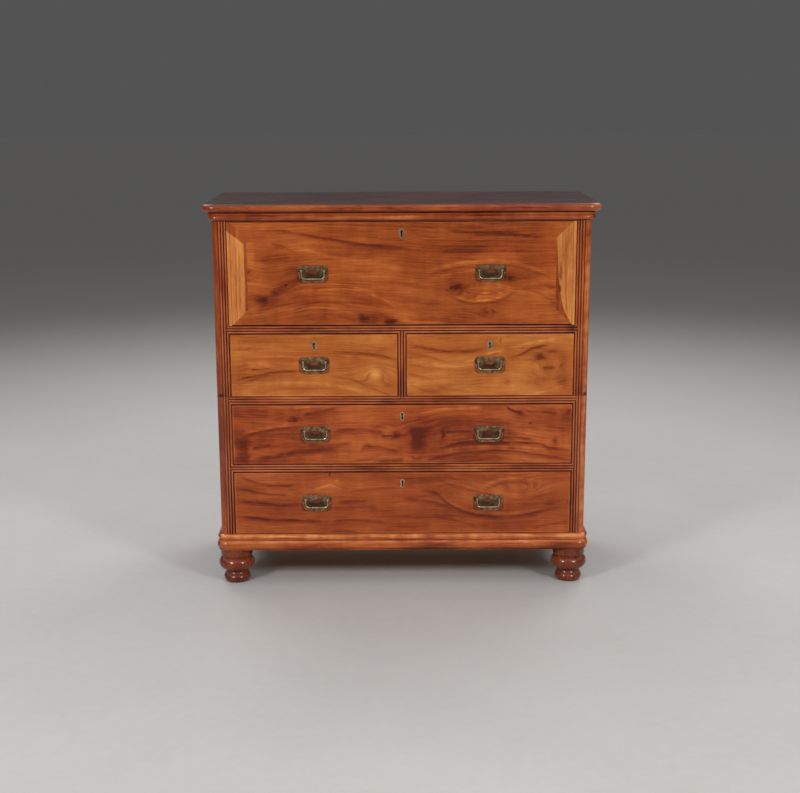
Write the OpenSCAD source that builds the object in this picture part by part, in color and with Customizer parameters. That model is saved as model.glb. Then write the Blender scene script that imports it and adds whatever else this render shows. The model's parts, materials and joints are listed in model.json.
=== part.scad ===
// Two-part secretaire campaign chest in polished camphor wood with antique brass.
// The chest stands on the plane z = 0, its front faces -Y and its middle is x = 0.

/* [Case] */
// Width over the corner posts
case_w = 1046; // [960:1:1200]
// Depth from the front plane to the back
case_d = 433; // [380:1:520]
// Thickness of the side boards
side_t = 20; // [16:1:24]
// Thickness of the back boards
back_t = 10; // [8:1:14]
// Gap between neighbouring back boards
back_gap = 0.4; // [0.2:0.1:0.8]
// Hairline gap where two boards of one sub-part are joined
seam = 0.05; // [0.02:0.01:0.1]
// Width of one corner post seen from the front
post_w = 41; // [36:1:50]
// Depth of one corner post and of the front rails
post_d = 41; // [36:1:50]
// Radius of the rounded outer corner of a post
post_corner_r = 18; // [10:1:20]
// Width of one reed on posts, rails and divider
reed_w = 7.5; // [6:0.1:8]
// Radius of the curve across one reed
reed_r = 3.9; // [3.8:0.1:4.6]
// Thickness of the dust boards
dust_t = 10; // [8:1:12]
// Thickness of the lower case's bottom board
bottom_t = 18; // [14:1:22]
// Thickness of the upper case's bottom board
upper_bottom_t = 14; // [12:1:16]
// Gap between the two cases where they stand on each other
case_seat = 0.3; // [0.2:0.1:0.6]
// Radius of the dowels that keep the upper case in place
dowel_r = 8; // [5:0.5:10]
// Clearance round the dowels in the upper case
dowel_gap = 0.4; // [0.2:0.1:0.8]
// Distance of the dowels from the side boards
dowel_in = 43; // [35:1:60]

/* [Heights] */
// Height of the turned feet
foot_h = 104.5; // [80:0.5:140]
// Height of the plinth moulding
plinth_h = 46; // [40:1:60]
// Height of the opening of the lower long drawer
low_open_h = 185; // [160:1:220]
// Height of the opening of the upper long drawer
mid_open_h = 175; // [150:1:220]
// Height of the openings of the two short drawers
short_open_h = 180; // [150:1:220]
// Height of the opening of the secretaire drawer
desk_open_h = 290; // [270:1:330]
// Height of the cornice moulding under the top board
cornice_h = 27; // [24:1:34]
// Thickness of the top board
top_t = 21; // [18:1:28]

/* [Mouldings] */
// Overhang of the top board over the case at front and sides
top_overhang = 27; // [20:1:40]
// Plan radius of the top board's front corners
top_corner_r = 42; // [35:1:60]
// How far the cornice moulding stands proud of the case
cornice_out = 11; // [8:1:16]
// How far the plinth moulding stands proud of the case
plinth_out = 13; // [10:1:18]
// Gap in the mouldings' mitres
mitre_gap = 0.1; // [0.1:0.05:0.3]

/* [Feet] */
// Radius of the foot's main ring
foot_r = 52; // [45:1:55]
// Radius of the foot's collar
foot_collar_r = 46; // [40:1:48]
// Radius of the foot's neck
foot_neck_r = 31; // [27:0.5:34]
// Radius of the foot's lower swelling
foot_low_r = 39; // [34:1:41]
// Radius of the flat that meets the floor
foot_base_r = 33; // [26:1:34]
// Radius of the screwed spigot
spigot_r = 12; // [9:1:16]
// Length of the screwed spigot
spigot_h = 20; // [12:1:24]

/* [Drawers] */
// Thickness of the drawer fronts
front_t = 20; // [18:1:24]
// How far the drawer fronts lie behind the reeds' crests
front_set = 0.8; // [0.4:0.1:2]
// Gap beside a drawer front
gap_side = 1.2; // [0.8:0.1:2]
// Gap above a drawer front
gap_top = 1.6; // [1:0.1:2.5]
// Gap below a drawer front
gap_bottom = 0.9; // [0.6:0.1:1.5]
// Running gap between a drawer and the boards that it slides on
slide_gap = 0.3; // [0.2:0.1:0.6]
// Thickness of the drawer sides and backs
drawer_side_t = 9; // [8:1:12]
// Thickness of the drawer bottoms
drawer_bottom_t = 7; // [5:1:8]
// Depth of the grooves that hold the drawer bottoms
groove_d = 4; // [3:0.5:5]
// Clearance of a drawer bottom in its grooves
groove_gap = 0.15; // [0.1:0.05:0.3]
// Free space behind a closed drawer
drawer_back_gap = 18; // [10:1:40]
// Height of the strips that guide the drawers
guide_h = 24; // [15:1:40]
// Length of the dovetails into a drawer front
tail_l = 12; // [8:1:14]

/* [Secretaire] */
// Thickness of the fall front
fall_t = 16; // [15:1:18]
// Distance of the hinge pins from the fall's face and from its lower edge
fall_pin_in = 5; // [4.5:0.1:5.5]
// Radius of the hinge pins
fall_pin_r = 2; // [1.5:0.1:2.4]
// Thickness of the secretaire drawer's sides, whose edges show at the front
desk_side_t = 8; // [7:1:10]
// Width of the mitred clamps
clamp_w = 45; // [36:1:60]
// Margin of the writing leather
leather_margin = 42; // [30:1:60]
// Thickness of the writing leather
leather_t = 1.2; // [1:0.1:1.6]
// Radius of the quadrant stays along their slot
stay_r = 155; // [145:1:175]
// Width of a quadrant stay
stay_w = 14; // [12:1:16]
// Thickness of a quadrant stay
stay_t = 2.5; // [2:0.1:3]
// Radius of the studs that the stays run on
stud_r = 1.5; // [1.2:0.1:1.6]
// Height of the pigeonhole fitting
fitting_h = 238; // [200:1:245]
// Number of pigeonholes, in three equal groups
holes = 9; // [6:3:12]
// Thickness of the fitting's boards
fitting_t = 6; // [5:1:8]
// Height of the pen drawers' openings
pen_h = 62; // [50:1:75]

/* [Handles] */
// Width of a handle plate
plate_w = 86; // [76:1:100]
// Height of a handle plate
plate_h = 47; // [42:1:56]
// Thickness of a handle plate
plate_t = 2.2; // [1.8:0.1:3]
// Radius of the bail's rod
bail_r = 2.4; // [2:0.1:2.6]
// Half the distance between the bail's arms at their pivots
bail_x = 31.5; // [28:0.5:32]
// Drop from the pivots to the bail's grip
bail_drop = 23; // [20:0.5:25]
// Radius of the bail's bends
bail_bend = 10; // [6:0.5:14]
// Size of the side carrying handles against the drawer handles
side_handle_scale = 1.3; // [1.1:0.05:1.4]
// Distance of the drawer handles from the middle of the chest
handle_x = 246; // [220:1:270]

/* [Locks] */
// Width of a lock case
lock_w = 56; // [48:1:64]
// Height of a lock case
lock_h = 48; // [46:1:54]
// Depth of a lock case
lock_d = 9; // [8:1:10]
// Distance of a keyhole below the top of its opening
keyhole_drop = 29; // [26:1:32]
// Width of the secretaire's escutcheon
desk_scutcheon_w = 19; // [14:0.5:22]
// Width of the short drawers' escutcheons
short_scutcheon_w = 17; // [13:0.5:22]
// Width of the long drawers' escutcheons
long_scutcheon_w = 14; // [13:0.5:22]
// Travel of a lock bolt
bolt_travel = 7; // [5:0.5:8]

/* [Hidden] */
$fn = 48;
eps = 0.01;
fit = 0.05;

camphor = [0.62, 0.33, 0.17];
camphor_light = [0.74, 0.45, 0.23];
camphor_dark = [0.50, 0.25, 0.13];
sapwood = [0.83, 0.57, 0.31];
brass = [0.50, 0.43, 0.28];
leather = [0.16, 0.22, 0.15];

// Places that follow from the sizes above
total_d = case_d + top_overhang;
front_y = -total_d / 2 + top_overhang;
half_w = case_w / 2;
open_x = half_w - post_w;
inner_x = half_w - side_t;
back_y = case_d - back_t;
rail_h = 3 * reed_w;
corner_r = min(post_corner_r, post_w - rail_h - 0.2);
plinth_in = corner_r;

plinth_top = foot_h + plinth_h;
rail3_z = plinth_top + low_open_h;
mid_open_z = rail3_z + rail_h;
rail2_z = mid_open_z + mid_open_h;
lower_top = rail2_z + rail_h;
upper_z = lower_top + case_seat;
rail1_z = lower_top + short_open_h;
desk_open_z = rail1_z + rail_h;
top_rail_z = desk_open_z + desk_open_h;
top_z = top_rail_z + cornice_h;

// One drawer opening is [left, right, bottom, top]
low_opening = [-open_x, open_x, plinth_top, rail3_z];
mid_opening = [-open_x, open_x, mid_open_z, rail2_z];
short_left_opening = [-open_x, -rail_h / 2, lower_top, rail1_z];
short_right_opening = [rail_h / 2, open_x, lower_top, rail1_z];
desk_opening = [-open_x, open_x, desk_open_z, top_rail_z];

drawer_end = back_y - drawer_back_gap;
box_y = front_set + front_t;

// Secretaire drawer
desk_x = open_x - gap_side;
desk_in_x = desk_x - desk_side_t;
fall_x = desk_in_x - 0.8;
fall_z = desk_open_z + gap_bottom;
fall_top = top_rail_z - gap_top;
fall_in_y = front_set + fall_t;
pin_y = front_set + fall_pin_in;
pin_z = fall_z + fall_pin_in;
desk_low_z = desk_open_z + slide_gap;
floor_z = fall_z + fall_t;
floor_y = pin_y + norm([fall_t - fall_pin_in, fall_pin_in]) + 0.4;
stay_x = fall_x - 0.3 - stay_t;
stud_out = 0.5;
stud_angle = atan2(stay_r, stud_out);
slot_r = stud_r + 0.1;
stay_end = (slot_r + 2.3) / stay_r * 180 / PI;
fitting_y = pin_y + stay_r + stay_w / 2 + 8;
fitting_x = desk_in_x;
fitting_end = drawer_end - drawer_side_t;
fitting_end_t = 7;
holes_w = 2 * (fitting_x - fitting_end_t);
hole_w = (holes_w - (holes - 1) * fitting_t) / holes;
group_w = holes / 3 * hole_w + (holes / 3 - 1) * fitting_t;
shelf_z = floor_z + fitting_t + pen_h;

// Handles
pivot_z = 8.5;
pivot_y = 0.9;
channel_w = 2 * bail_r + 2.4;
channel_depth = 7.5;
grip_z = pivot_z - bail_drop;
knuckle_half = bail_r + 0.15;
knuckle_r = bail_r + 0.5;
channel_end_r = norm([knuckle_half, knuckle_r]) + 0.2;
boss_r = 3.4;
boss_x = bail_x + knuckle_half + 0.25;
boss_l = 4.2;
bail_pin_r = 1.25;

// Locks
bolt_w = 24;
bolt_t = 4;
bolt_h = 30;
bolt_fit = 0.15;
bolt_y = 3.5;

// Shifts what is drawn from the front plane into the shared frame.
module from_front() {
    translate([0, front_y, 0])
        children();
}

// Draws its children twice, the second mirrored to the other side.
module both_sides() {
    children();
    mirror([1, 0, 0])
        children();
}

module box(x0, x1, y0, y1, z0, z1) {
    translate([x0, y0, z0])
        cube([x1 - x0, y1 - y0, z1 - z0]);
}

// Extrudes a shape drawn in x and z along y, from y0 to y1.
module plate_y(y0, y1) {
    translate([0, y1, 0])
        rotate([90, 0, 0])
            linear_extrude(y1 - y0)
                children();
}

// Extrudes a shape drawn in y and z along x, from x0 to x1.
module bar_x(x0, x1) {
    translate([x0, 0, 0])
        rotate([90, 0, 90])
            linear_extrude(x1 - x0)
                children();
}

function arc(cx, cy, r, a0, a1, n) =
    [for (i = [0 : n]) [cx + r * cos(a0 + (a1 - a0) * i / n), cy + r * sin(a0 + (a1 - a0) * i / n)]];

// Section across a row of reeds: the crests touch y = 0.
module reeds_2d(n, depth) {
    intersection() {
        union() {
            for (i = [0 : n - 1])
                translate([(i + 0.5) * reed_w, reed_r])
                    circle(reed_r);
            translate([0, reed_r - 0.6])
                square([n * reed_w, depth - reed_r + 0.6]);
        }
        square([n * reed_w, depth]);
    }
}

// Section of the right-hand post, from the edge of the openings outwards.
module post_2d() {
    smooth_x = rail_h;
    corner_x = post_w - corner_r;
    union() {
        reeds_2d(3, post_d);
        translate([smooth_x, 0])
            square([corner_x - smooth_x, post_d]);
        translate([corner_x, corner_r])
            circle(corner_r);
        translate([smooth_x, corner_r])
            square([post_w - smooth_x, post_d - corner_r]);
    }
}

// Outline of a rail, drawn in x and z, with its ends mitred into the posts' inner reeds.
module rail_outline(z, top_mitre) {
    tip = open_x + reed_w;
    right = top_mitre ? [[tip, z + rail_h - reed_w], [open_x, z + rail_h]] : [[tip, z + rail_h]];
    left = top_mitre ? [[-open_x, z + rail_h], [-tip, z + rail_h - reed_w]] : [[-tip, z + rail_h]];
    polygon(concat([[-tip, z + reed_w], [-open_x, z], [open_x, z], [tip, z + reed_w]], right, left));
}

// Outline of the mitred end that the divider's reeds make in a rail's first reed.
module divider_tip(z, up) {
    polygon([[-rail_h / 2, z], [rail_h / 2, z], [reed_w / 2, z + up * reed_w], [-reed_w / 2, z + up * reed_w]]);
}

module reeded_rail(z, top_mitre) {
    intersection() {
        bar_x(-half_w, half_w)
            translate([0, z])
                mirror([1, -1, 0])
                    reeds_2d(3, post_d);
        plate_y(-1, post_d + 1)
            rail_outline(z, top_mitre);
    }
}

module divider_reeds(z0, z1) {
    translate([-rail_h / 2, 0, z0])
        linear_extrude(z1 - z0)
            reeds_2d(3, post_d);
}

module post(z0, z1) {
    translate([open_x, 0, z0])
        linear_extrude(z1 - z0)
            post_2d();
}

// Mortise in the underside of a rail for a lock bolt.
module bolt_mortise(x, z, back) {
    box(x - bolt_w / 2 - 1, x + bolt_w / 2 + 1, back - bolt_y - bolt_t - 1, back - bolt_y + 1,
        z - 1, z + bolt_travel + 2);
}

// Moulding round the front and sides of the case, from a section of [out, height] points,
// cut into a front piece and two side returns at mitred corners.
module moulding(section) {
    turn_x = half_w - corner_r;
    module run() {
        translate([-turn_x, corner_r, 0])
            rotate([90, 0, 90])
                linear_extrude(2 * turn_x)
                    polygon([for (p = section) [-corner_r - p[0], p[1]]]);
    }
    module corner() {
        translate([turn_x, corner_r, 0])
            rotate([0, 0, -90])
                rotate_extrude(angle = 90)
                    polygon([for (p = section) [corner_r + p[0], p[1]]]);
    }
    module side_run() {
        translate([turn_x, corner_r, 0])
            mirror([0, 1, 0])
                rotate([90, 0, 0])
                    linear_extrude(case_d - corner_r)
                        polygon([for (p = section) [corner_r + p[0], p[1]]]);
    }
    module wedge(back) {
        reach = half_w / 2;
        shift = back ? mitre_gap : 0;
        translate([turn_x + shift, corner_r + shift, 0])
            linear_extrude(2 * top_z)
                polygon(back ? [[0, 0], [reach, -reach], [reach, reach]] : [[0, 0], [reach, -reach], [-reach, -reach]]);
    }
    union() {
        run();
        both_sides()
            intersection() {
                corner();
                wedge(false);
            }
    }
    both_sides()
        union() {
            side_run();
            intersection() {
                corner();
                wedge(true);
            }
        }
}

plinth_r = 0.33 * plinth_h;
plinth_top_r = 0.161 * plinth_h;

function plinth_section() = concat(
    [[-plinth_in, foot_h], [plinth_out - 4, foot_h]],
    arc(plinth_out - plinth_r, foot_h + 0.31 * plinth_h, plinth_r, -55, 55, 12),
    [[plinth_out - 6, foot_h + 0.62 * plinth_h], [plinth_out - 6, foot_h + 0.67 * plinth_h]],
    arc(plinth_out - 2.5 - plinth_top_r, plinth_top - plinth_top_r, plinth_top_r, -58, 90, 12),
    [[0, plinth_top], [0, plinth_top - bottom_t], [-plinth_in, plinth_top - bottom_t]]
);

// Height in the cornice, given for a cornice 27 mm high.
function cornice_z(z) = top_rail_z + z * cornice_h / 27;
cornice_r = 0.26 * cornice_h;

function cornice_section() = concat(
    [[0, cornice_z(3)], [cornice_out - 8, cornice_z(3)]],
    arc(cornice_out - cornice_r, cornice_z(10), cornice_r, -72, 62, 10),
    [
        [cornice_out - 3.4, cornice_z(16.6)], [cornice_out - 3.4, cornice_z(18)],
        [cornice_out - 0.8, cornice_z(18)], [cornice_out - 0.8, cornice_z(22.6)],
        [cornice_out - 4, cornice_z(23.4)], [cornice_out - 4, top_z], [0, top_z]
    ]
);

// Lower case

module lower_sides() {
    color(camphor)
        from_front()
            both_sides()
                difference() {
                    box(inner_x, half_w, post_d, case_d, plinth_top - bottom_t, lower_top);
                    side_handle_pocket(lower_handle_z);
                }
}

module lower_posts() {
    color(camphor)
        from_front()
            both_sides()
                difference() {
                    post(plinth_top - bottom_t, lower_top);
                    for (r = [[rail3_z, true], [rail2_z, false]])
                        plate_y(-1, post_d + 1)
                            rail_outline(r[0], r[1]);
                }
}

module lower_rails() {
    color(camphor_dark)
        from_front() {
            difference() {
                reeded_rail(rail3_z, true);
                bolt_mortise(0, rail3_z, box_y);
            }
            difference() {
                reeded_rail(rail2_z, false);
                plate_y(-1, reed_r)
                    divider_tip(lower_top, -1);
                bolt_mortise(0, rail2_z, box_y);
            }
            intersection() {
                divider_reeds(lower_top - reed_w, lower_top);
                plate_y(-1, reed_r)
                    divider_tip(lower_top, -1);
            }
        }
}

module dust_board(z) {
    box(-inner_x, inner_x, post_d, back_y, z - dust_t, z);
}

// Guide strips that keep a drawer straight, on the board whose top is at z.
module guides(z) {
    both_sides()
        box(open_x, inner_x, post_d, back_y, z + seam, z + guide_h);
}

module lower_dust_frames() {
    color(camphor_light)
        from_front() {
            dust_board(mid_open_z);
            difference() {
                dust_board(lower_top);
                dowel_places()
                    translate([0, 0, -dust_t - 1])
                        cylinder(r = dowel_r, h = dust_t + 2);
            }
            guides(mid_open_z);
            guides(plinth_top);
        }
}

foot_in = foot_r - plinth_out;
foot_x = half_w - foot_in;
foot_y = [foot_in, case_d - foot_in - plinth_out];
block_in = foot_in + 10;

module lower_bottom() {
    color(camphor_light)
        from_front() {
            box(-open_x, open_x, 0, post_d, plinth_top - bottom_t, plinth_top);
            box(-inner_x, inner_x, post_d, back_y, plinth_top - bottom_t, plinth_top);
            both_sides()
                for (y = foot_y)
                    difference() {
                        box(foot_x - block_in, half_w - plinth_in, max(plinth_in, y - block_in),
                            min(case_d, y + block_in), foot_h, plinth_top - bottom_t - seam);
                        translate([foot_x, y, foot_h - 1])
                            cylinder(r = spigot_r, h = spigot_h + 1);
                    }
        }
}

module back_boards(z0, z1) {
    n = 5;
    w = 2 * inner_x / n;
    for (i = [0 : n - 1])
        box(-inner_x + i * w + (i == 0 ? 0 : back_gap), -inner_x + (i + 1) * w, back_y, case_d, z0, z1);
}

module lower_back() {
    color(camphor_light)
        from_front()
            back_boards(plinth_top - bottom_t, lower_top);
}

module plinth() {
    color(camphor)
        from_front()
            moulding(plinth_section());
}

// Height in a foot, given for a foot 104.5 mm high.
function foot_z(z) = z * foot_h / 104.5;

// A turned curve that stands out to r, or goes in to r, at the height z.
function foot_arc(r, z, curve_r, a0, a1, n) =
    arc(r + (a1 == 180 ? 1 : -1) * foot_z(curve_r), foot_z(z), foot_z(curve_r), a0, a1, n);

function foot_profile() = concat(
    [[0, 0], [foot_base_r, 0]],
    foot_arc(foot_low_r, 13, 12, -52, 52, 8),
    foot_arc(foot_neck_r, 33, 9, 228, 180, 5),
    [[foot_neck_r + 3, foot_z(36.8)]],
    foot_arc(foot_r, 57, 20, -66, 62, 12),
    [[foot_r - 10.5, foot_z(77.5)]],
    foot_arc(foot_collar_r, 82.5, 3, -75, 0, 4),
    [[foot_collar_r, foot_h], [spigot_r, foot_h],
     [spigot_r, foot_h + spigot_h], [0, foot_h + spigot_h]]
);

module feet() {
    color(camphor_dark)
        from_front()
            both_sides()
                for (y = foot_y)
                    translate([foot_x, y, 0])
                        rotate_extrude()
                            polygon(foot_profile());
}

dowel_x = inner_x - dowel_in;
dowel_y = [post_d + 1.6 * dowel_in, back_y - 1.7 * dowel_in];
dowel_up = upper_bottom_t - 2;

module dowel_places() {
    for (x = [-dowel_x, dowel_x], y = dowel_y)
        translate([x, y, lower_top])
            children();
}

module locating_dowels() {
    color(camphor_dark)
        from_front()
            dowel_places()
                translate([0, 0, -dust_t])
                    cylinder(r = dowel_r, h = dust_t + dowel_up);
}

// Handles

// Outline of a handle plate in x and z about its middle.
module plate_outline() {
    w = plate_w / 2;
    h = plate_h / 2;
    half = [
        [0, h], [w - 10, h], [w - 8, h - 1.6], [w - 4, h - 2.4], [w - 1, h - 5.5], [w, h - 10],
        [w - 0.6, h - 15.5], [w - 2.4, h - 20], [w - 4, -h + 18.5], [w - 6.5, -h + 11.5],
        [w - 10.5, -h + 5.8], [w - 15.5, -h + 2], [w - 21.5, -h], [0, -h]
    ];
    union() {
        polygon(half);
        mirror([1, 0])
            polygon(half);
    }
}

// A bowl shape with its two lower corners rounded at the bail's bends.
module bowl(r, top) {
    bend_x = bail_x - bail_bend;
    bend_z = grip_z + bail_bend;
    translate([-bend_x - r, bend_z])
        square([2 * (bend_x + r), top - bend_z]);
    translate([-bend_x, bend_z - r])
        square([2 * bend_x, 2 * r]);
    for (side = [-1, 1])
        translate([side * bend_x, bend_z])
            circle(r);
}

// The U-shaped channel that the bail lies in.
module channel_outline() {
    w = channel_w / 2;
    difference() {
        bowl(bail_bend + w, pivot_z);
        bowl(bail_bend - w, pivot_z + 1);
    }
    for (side = [-1, 1])
        translate([side * bail_x, pivot_z])
            circle(channel_end_r);
}

// The pointed oval through which the wood shows.
module plate_eye() {
    half_l = 15;
    half_h = 5.8;
    r = (half_l * half_l + half_h * half_h) / (2 * half_h);
    intersection() {
        translate([0, 5.5 + r - half_h])
            circle(r);
        translate([0, 5.5 - r + half_h])
            circle(r);
    }
}

module pivot_line(x0, x1, r) {
    both_sides()
        translate([x0, pivot_y, pivot_z])
            rotate([0, 90, 0])
                cylinder(r = r, h = x1 - x0);
}

// A handle plate about its middle, with its face on y = 0 and two bored ears.
module handle_plate() {
    difference() {
        union() {
            plate_y(0, plate_t)
                difference() {
                    plate_outline();
                    channel_outline();
                    plate_eye();
                }
            pivot_line(boss_x, boss_x + boss_l, boss_r);
        }
        pivot_line(boss_x - 1, boss_x + boss_l + 1, bail_pin_r + fit);
        both_sides()
            translate([plate_w / 2 - 2.8, 0, pivot_z])
                plate_y(-1, 0.7)
                    circle(1.3);
    }
}

// What is cut out of the wood for one handle.
module handle_pocket() {
    plate_y(-1, plate_t)
        plate_outline();
    plate_y(-1, channel_depth)
        channel_outline();
    pivot_line(boss_x - 1, boss_x + boss_l + 0.4, boss_r + 0.2);
}

// The swinging bail, hanging in its channel.
module handle_bail() {
    bend_x = bail_x - bail_bend;
    bend_z = grip_z + bail_bend;
    union() {
        translate([-bend_x, pivot_y, grip_z])
            rotate([0, 90, 0])
                cylinder(r = bail_r, h = 2 * bend_x);
        translate([-2.2, pivot_y, grip_z])
            rotate([0, 90, 0])
                cylinder(r = bail_r + 0.6, h = 4.4);
        for (side = [-1, 1]) {
            translate([side * bail_x, pivot_y, bend_z])
                cylinder(r = bail_r, h = pivot_z - bend_z);
            translate([side * bend_x, pivot_y, bend_z])
                rotate([90, 0, 0])
                    rotate([0, 0, side > 0 ? -90 : 180])
                        rotate_extrude(angle = 90)
                            translate([bail_bend, 0])
                                circle(bail_r);
        }
        pivot_line(bail_x - knuckle_half, bail_x + knuckle_half, knuckle_r);
        pivot_line(bail_x, boss_x + boss_l - 0.4, bail_pin_r);
    }
}

lower_handle_z = (plinth_top + lower_top) / 2 + 30;
upper_handle_z = (upper_z + top_rail_z) / 2 + 20;

// Places a handle on the right-hand side of the case, facing outwards.
module on_right_side(z) {
    translate([half_w, case_d / 2, z])
        rotate([0, 0, 90])
            scale(side_handle_scale)
                children();
}

module side_handle_pocket(z) {
    on_right_side(z)
        handle_pocket();
}

module side_plates(z) {
    color(brass)
        from_front()
            both_sides()
                on_right_side(z)
                    handle_plate();
}

module lower_side_plates() {
    side_plates(lower_handle_z);
}

module upper_side_plates() {
    side_plates(upper_handle_z);
}

module side_bail(z, left) {
    color(brass)
        from_front()
            mirror([left ? 1 : 0, 0, 0])
                on_right_side(z)
                    handle_bail();
}

module side_bail_lower_left() {
    side_bail(lower_handle_z, true);
}

module side_bail_lower_right() {
    side_bail(lower_handle_z, false);
}

module side_bail_upper_left() {
    side_bail(upper_handle_z, true);
}

module side_bail_upper_right() {
    side_bail(upper_handle_z, false);
}

// Upper case

module top_board() {
    r = top_t / 2;
    turn = top_corner_r;
    mid_z = top_z + r;
    turn_x = half_w + top_overhang - turn;
    turn_y = turn - top_overhang;
    edge = turn - r;
    module edge_2d() {
        square([edge, top_t]);
        translate([edge, r])
            circle(r);
    }
    color(camphor)
        from_front()
            union() {
                box(-turn_x, turn_x, turn_y - 1, case_d, top_z, top_z + top_t);
                translate([-turn_x, turn_y, top_z])
                    rotate([90, 0, 90])
                        linear_extrude(2 * turn_x)
                            mirror([1, 0])
                                edge_2d();
                both_sides()
                    translate([turn_x, turn_y, top_z]) {
                        rotate([0, 0, -90])
                            rotate_extrude(angle = 90)
                                edge_2d();
                        mirror([0, 1, 0])
                            rotate([90, 0, 0])
                                linear_extrude(case_d - turn_y)
                                    edge_2d();
                    }
            }
}

module cornice() {
    color(camphor)
        from_front()
            moulding(cornice_section());
}

module upper_sides() {
    color(camphor)
        from_front()
            both_sides()
                difference() {
                    box(inner_x, half_w, post_d, case_d, upper_z, top_z);
                    side_handle_pocket(upper_handle_z);
                }
}

module upper_posts() {
    color(camphor)
        from_front()
            both_sides()
                difference() {
                    post(upper_z, top_z);
                    plate_y(-1, post_d + 1)
                        rail_outline(rail1_z, true);
                }
}

module upper_rails() {
    color(camphor_dark)
        from_front() {
            difference() {
                reeded_rail(rail1_z, true);
                plate_y(-1, reed_r)
                    divider_tip(rail1_z, 1);
                for (side = [-1, 1])
                    bolt_mortise(side * handle_x, rail1_z, box_y);
            }
            difference() {
                box(-open_x, open_x, 0, post_d, top_rail_z, top_z);
                bolt_mortise(0, top_rail_z, fall_in_y);
            }
        }
}

module upper_divider() {
    color(camphor_dark)
        from_front() {
            union() {
                difference() {
                    divider_reeds(upper_z, rail1_z);
                    box(-rail_h, rail_h, box_y + 1.2, post_d + 1, upper_z - 1, lower_top + upper_bottom_t);
                }
                intersection() {
                    divider_reeds(rail1_z - eps, rail1_z + reed_w);
                    plate_y(-1, reed_r)
                        divider_tip(rail1_z, 1);
                }
            }
            box(-6, 6, post_d + seam, back_y, lower_top + upper_bottom_t, desk_open_z - dust_t);
            both_sides()
                box(6 + seam, rail_h / 2, post_d + seam, back_y, lower_top + upper_bottom_t,
                    lower_top + upper_bottom_t + guide_h);
        }
}

module upper_dust_frames() {
    color(camphor_light)
        from_front() {
            dust_board(desk_open_z);
            guides(desk_open_z);
            guides(lower_top + upper_bottom_t);
        }
}

module upper_bottom() {
    color(camphor_light)
        from_front()
            difference() {
                union() {
                    box(-open_x, open_x, box_y + 1.2, post_d, upper_z, lower_top + upper_bottom_t);
                    box(-inner_x, inner_x, post_d, back_y, upper_z, lower_top + upper_bottom_t);
                }
                dowel_places()
                    cylinder(r = dowel_r + dowel_gap, h = 4 * upper_bottom_t, center = true);
            }
}

module upper_back() {
    color(camphor_light)
        from_front()
            back_boards(upper_z, top_z);
}

// Secretaire drawer

module desk_box() {
    color(camphor_light)
        from_front() {
            both_sides()
                difference() {
                    box(desk_in_x, desk_x, front_set, drawer_end, desk_low_z, fall_top);
                    translate([desk_in_x - 1, pin_y, pin_z])
                        rotate([0, 90, 0])
                            cylinder(r = fall_pin_r + fit, h = 6.5);
                }
            both_sides()
                translate([stay_x + 0.2, pin_y + stud_out, pin_z + stay_r * sin(stud_angle)])
                    rotate([0, 90, 0])
                        cylinder(r = stud_r, h = desk_in_x - stay_x - 0.2 - seam);
            box(-desk_in_x + seam, desk_in_x - seam, drawer_end - drawer_side_t, drawer_end, floor_z,
                fall_top - 30);
        }
}

// The drawer's floor, whose front edge stands clear of the fall's turning lower edge.
module desk_floor() {
    color(camphor)
        from_front()
            difference() {
                box(-desk_in_x, desk_in_x, floor_y, drawer_end, desk_low_z, floor_z);
                both_sides()
                    box(stay_x - 0.3, desk_in_x + 1, pin_y + stay_r - stay_w / 2 - 1,
                        pin_y + stay_r + stay_w / 2 + 1, desk_low_z - 1, floor_z + 1);
            }
}

module pigeonholes() {
    z1 = floor_z + fitting_h;
    y0 = fitting_y;
    y1 = fitting_end;
    back = y1 - fitting_t;
    first = -fitting_x + fitting_end_t;
    pitch = hole_w + fitting_t;
    valance_h = 30;
    color(camphor_light)
        from_front() {
            both_sides()
                box(fitting_x - fitting_end_t, fitting_x, y0, y1, floor_z, z1);
            for (z = [floor_z, shelf_z, z1 - fitting_t])
                box(first + seam, -first - seam, y0, back - seam, z, z + fitting_t);
            box(first + seam, -first - seam, back, y1, floor_z, z1);
            for (i = [1 : holes - 1])
                box(first + i * pitch - fitting_t, first + i * pitch, y0, back - seam,
                    shelf_z + fitting_t + seam, z1 - fitting_t - seam);
            for (i = [1 : 2])
                box(first + i * (group_w + fitting_t) - fitting_t, first + i * (group_w + fitting_t), y0,
                    back - seam, floor_z + fitting_t + seam, shelf_z - seam);
            for (i = [0 : holes - 1])
                translate([first + i * pitch + hole_w / 2, 0, z1 - fitting_t - seam])
                    plate_y(y0 + 4, y0 + 10)
                        difference() {
                            translate([-hole_w / 2 + seam, -valance_h])
                                square([hole_w - 2 * seam, valance_h]);
                            translate([0, -valance_h - hole_w * 0.28])
                                circle(hole_w * 0.5);
                        }
        }
}

// A pen drawer of group i, with two turned knobs.
module pen_drawer(i) {
    g = 0.5;
    x0 = -fitting_x + fitting_end_t + i * (group_w + fitting_t) + g;
    x1 = x0 + group_w - 2 * g;
    y0 = fitting_y + 1;
    y1 = fitting_end - fitting_t - 4;
    z0 = floor_z + fitting_t + slide_gap;
    z1 = shelf_z - 0.8;
    front = 9;
    wall = 5;
    floor_t = 4;
    color(camphor)
        from_front() {
            box(x0, x1, y0, y0 + front, z0, z1);
            for (x = [x0, x1 - wall])
                box(x, x + wall, y0 + front + seam, y1, z0, z1 - 2);
            box(x0 + wall + seam, x1 - wall - seam, y1 - wall, y1, z0, z1 - 2);
            box(x0 + wall + seam, x1 - wall - seam, y0 + front + seam, y1 - wall - seam, z0, z0 + floor_t);
            for (k = [0.25, 0.75])
                translate([x0 + k * (x1 - x0), y0, (z0 + z1) / 2])
                    rotate([90, 0, 0])
                        knob();
        }
}

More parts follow.
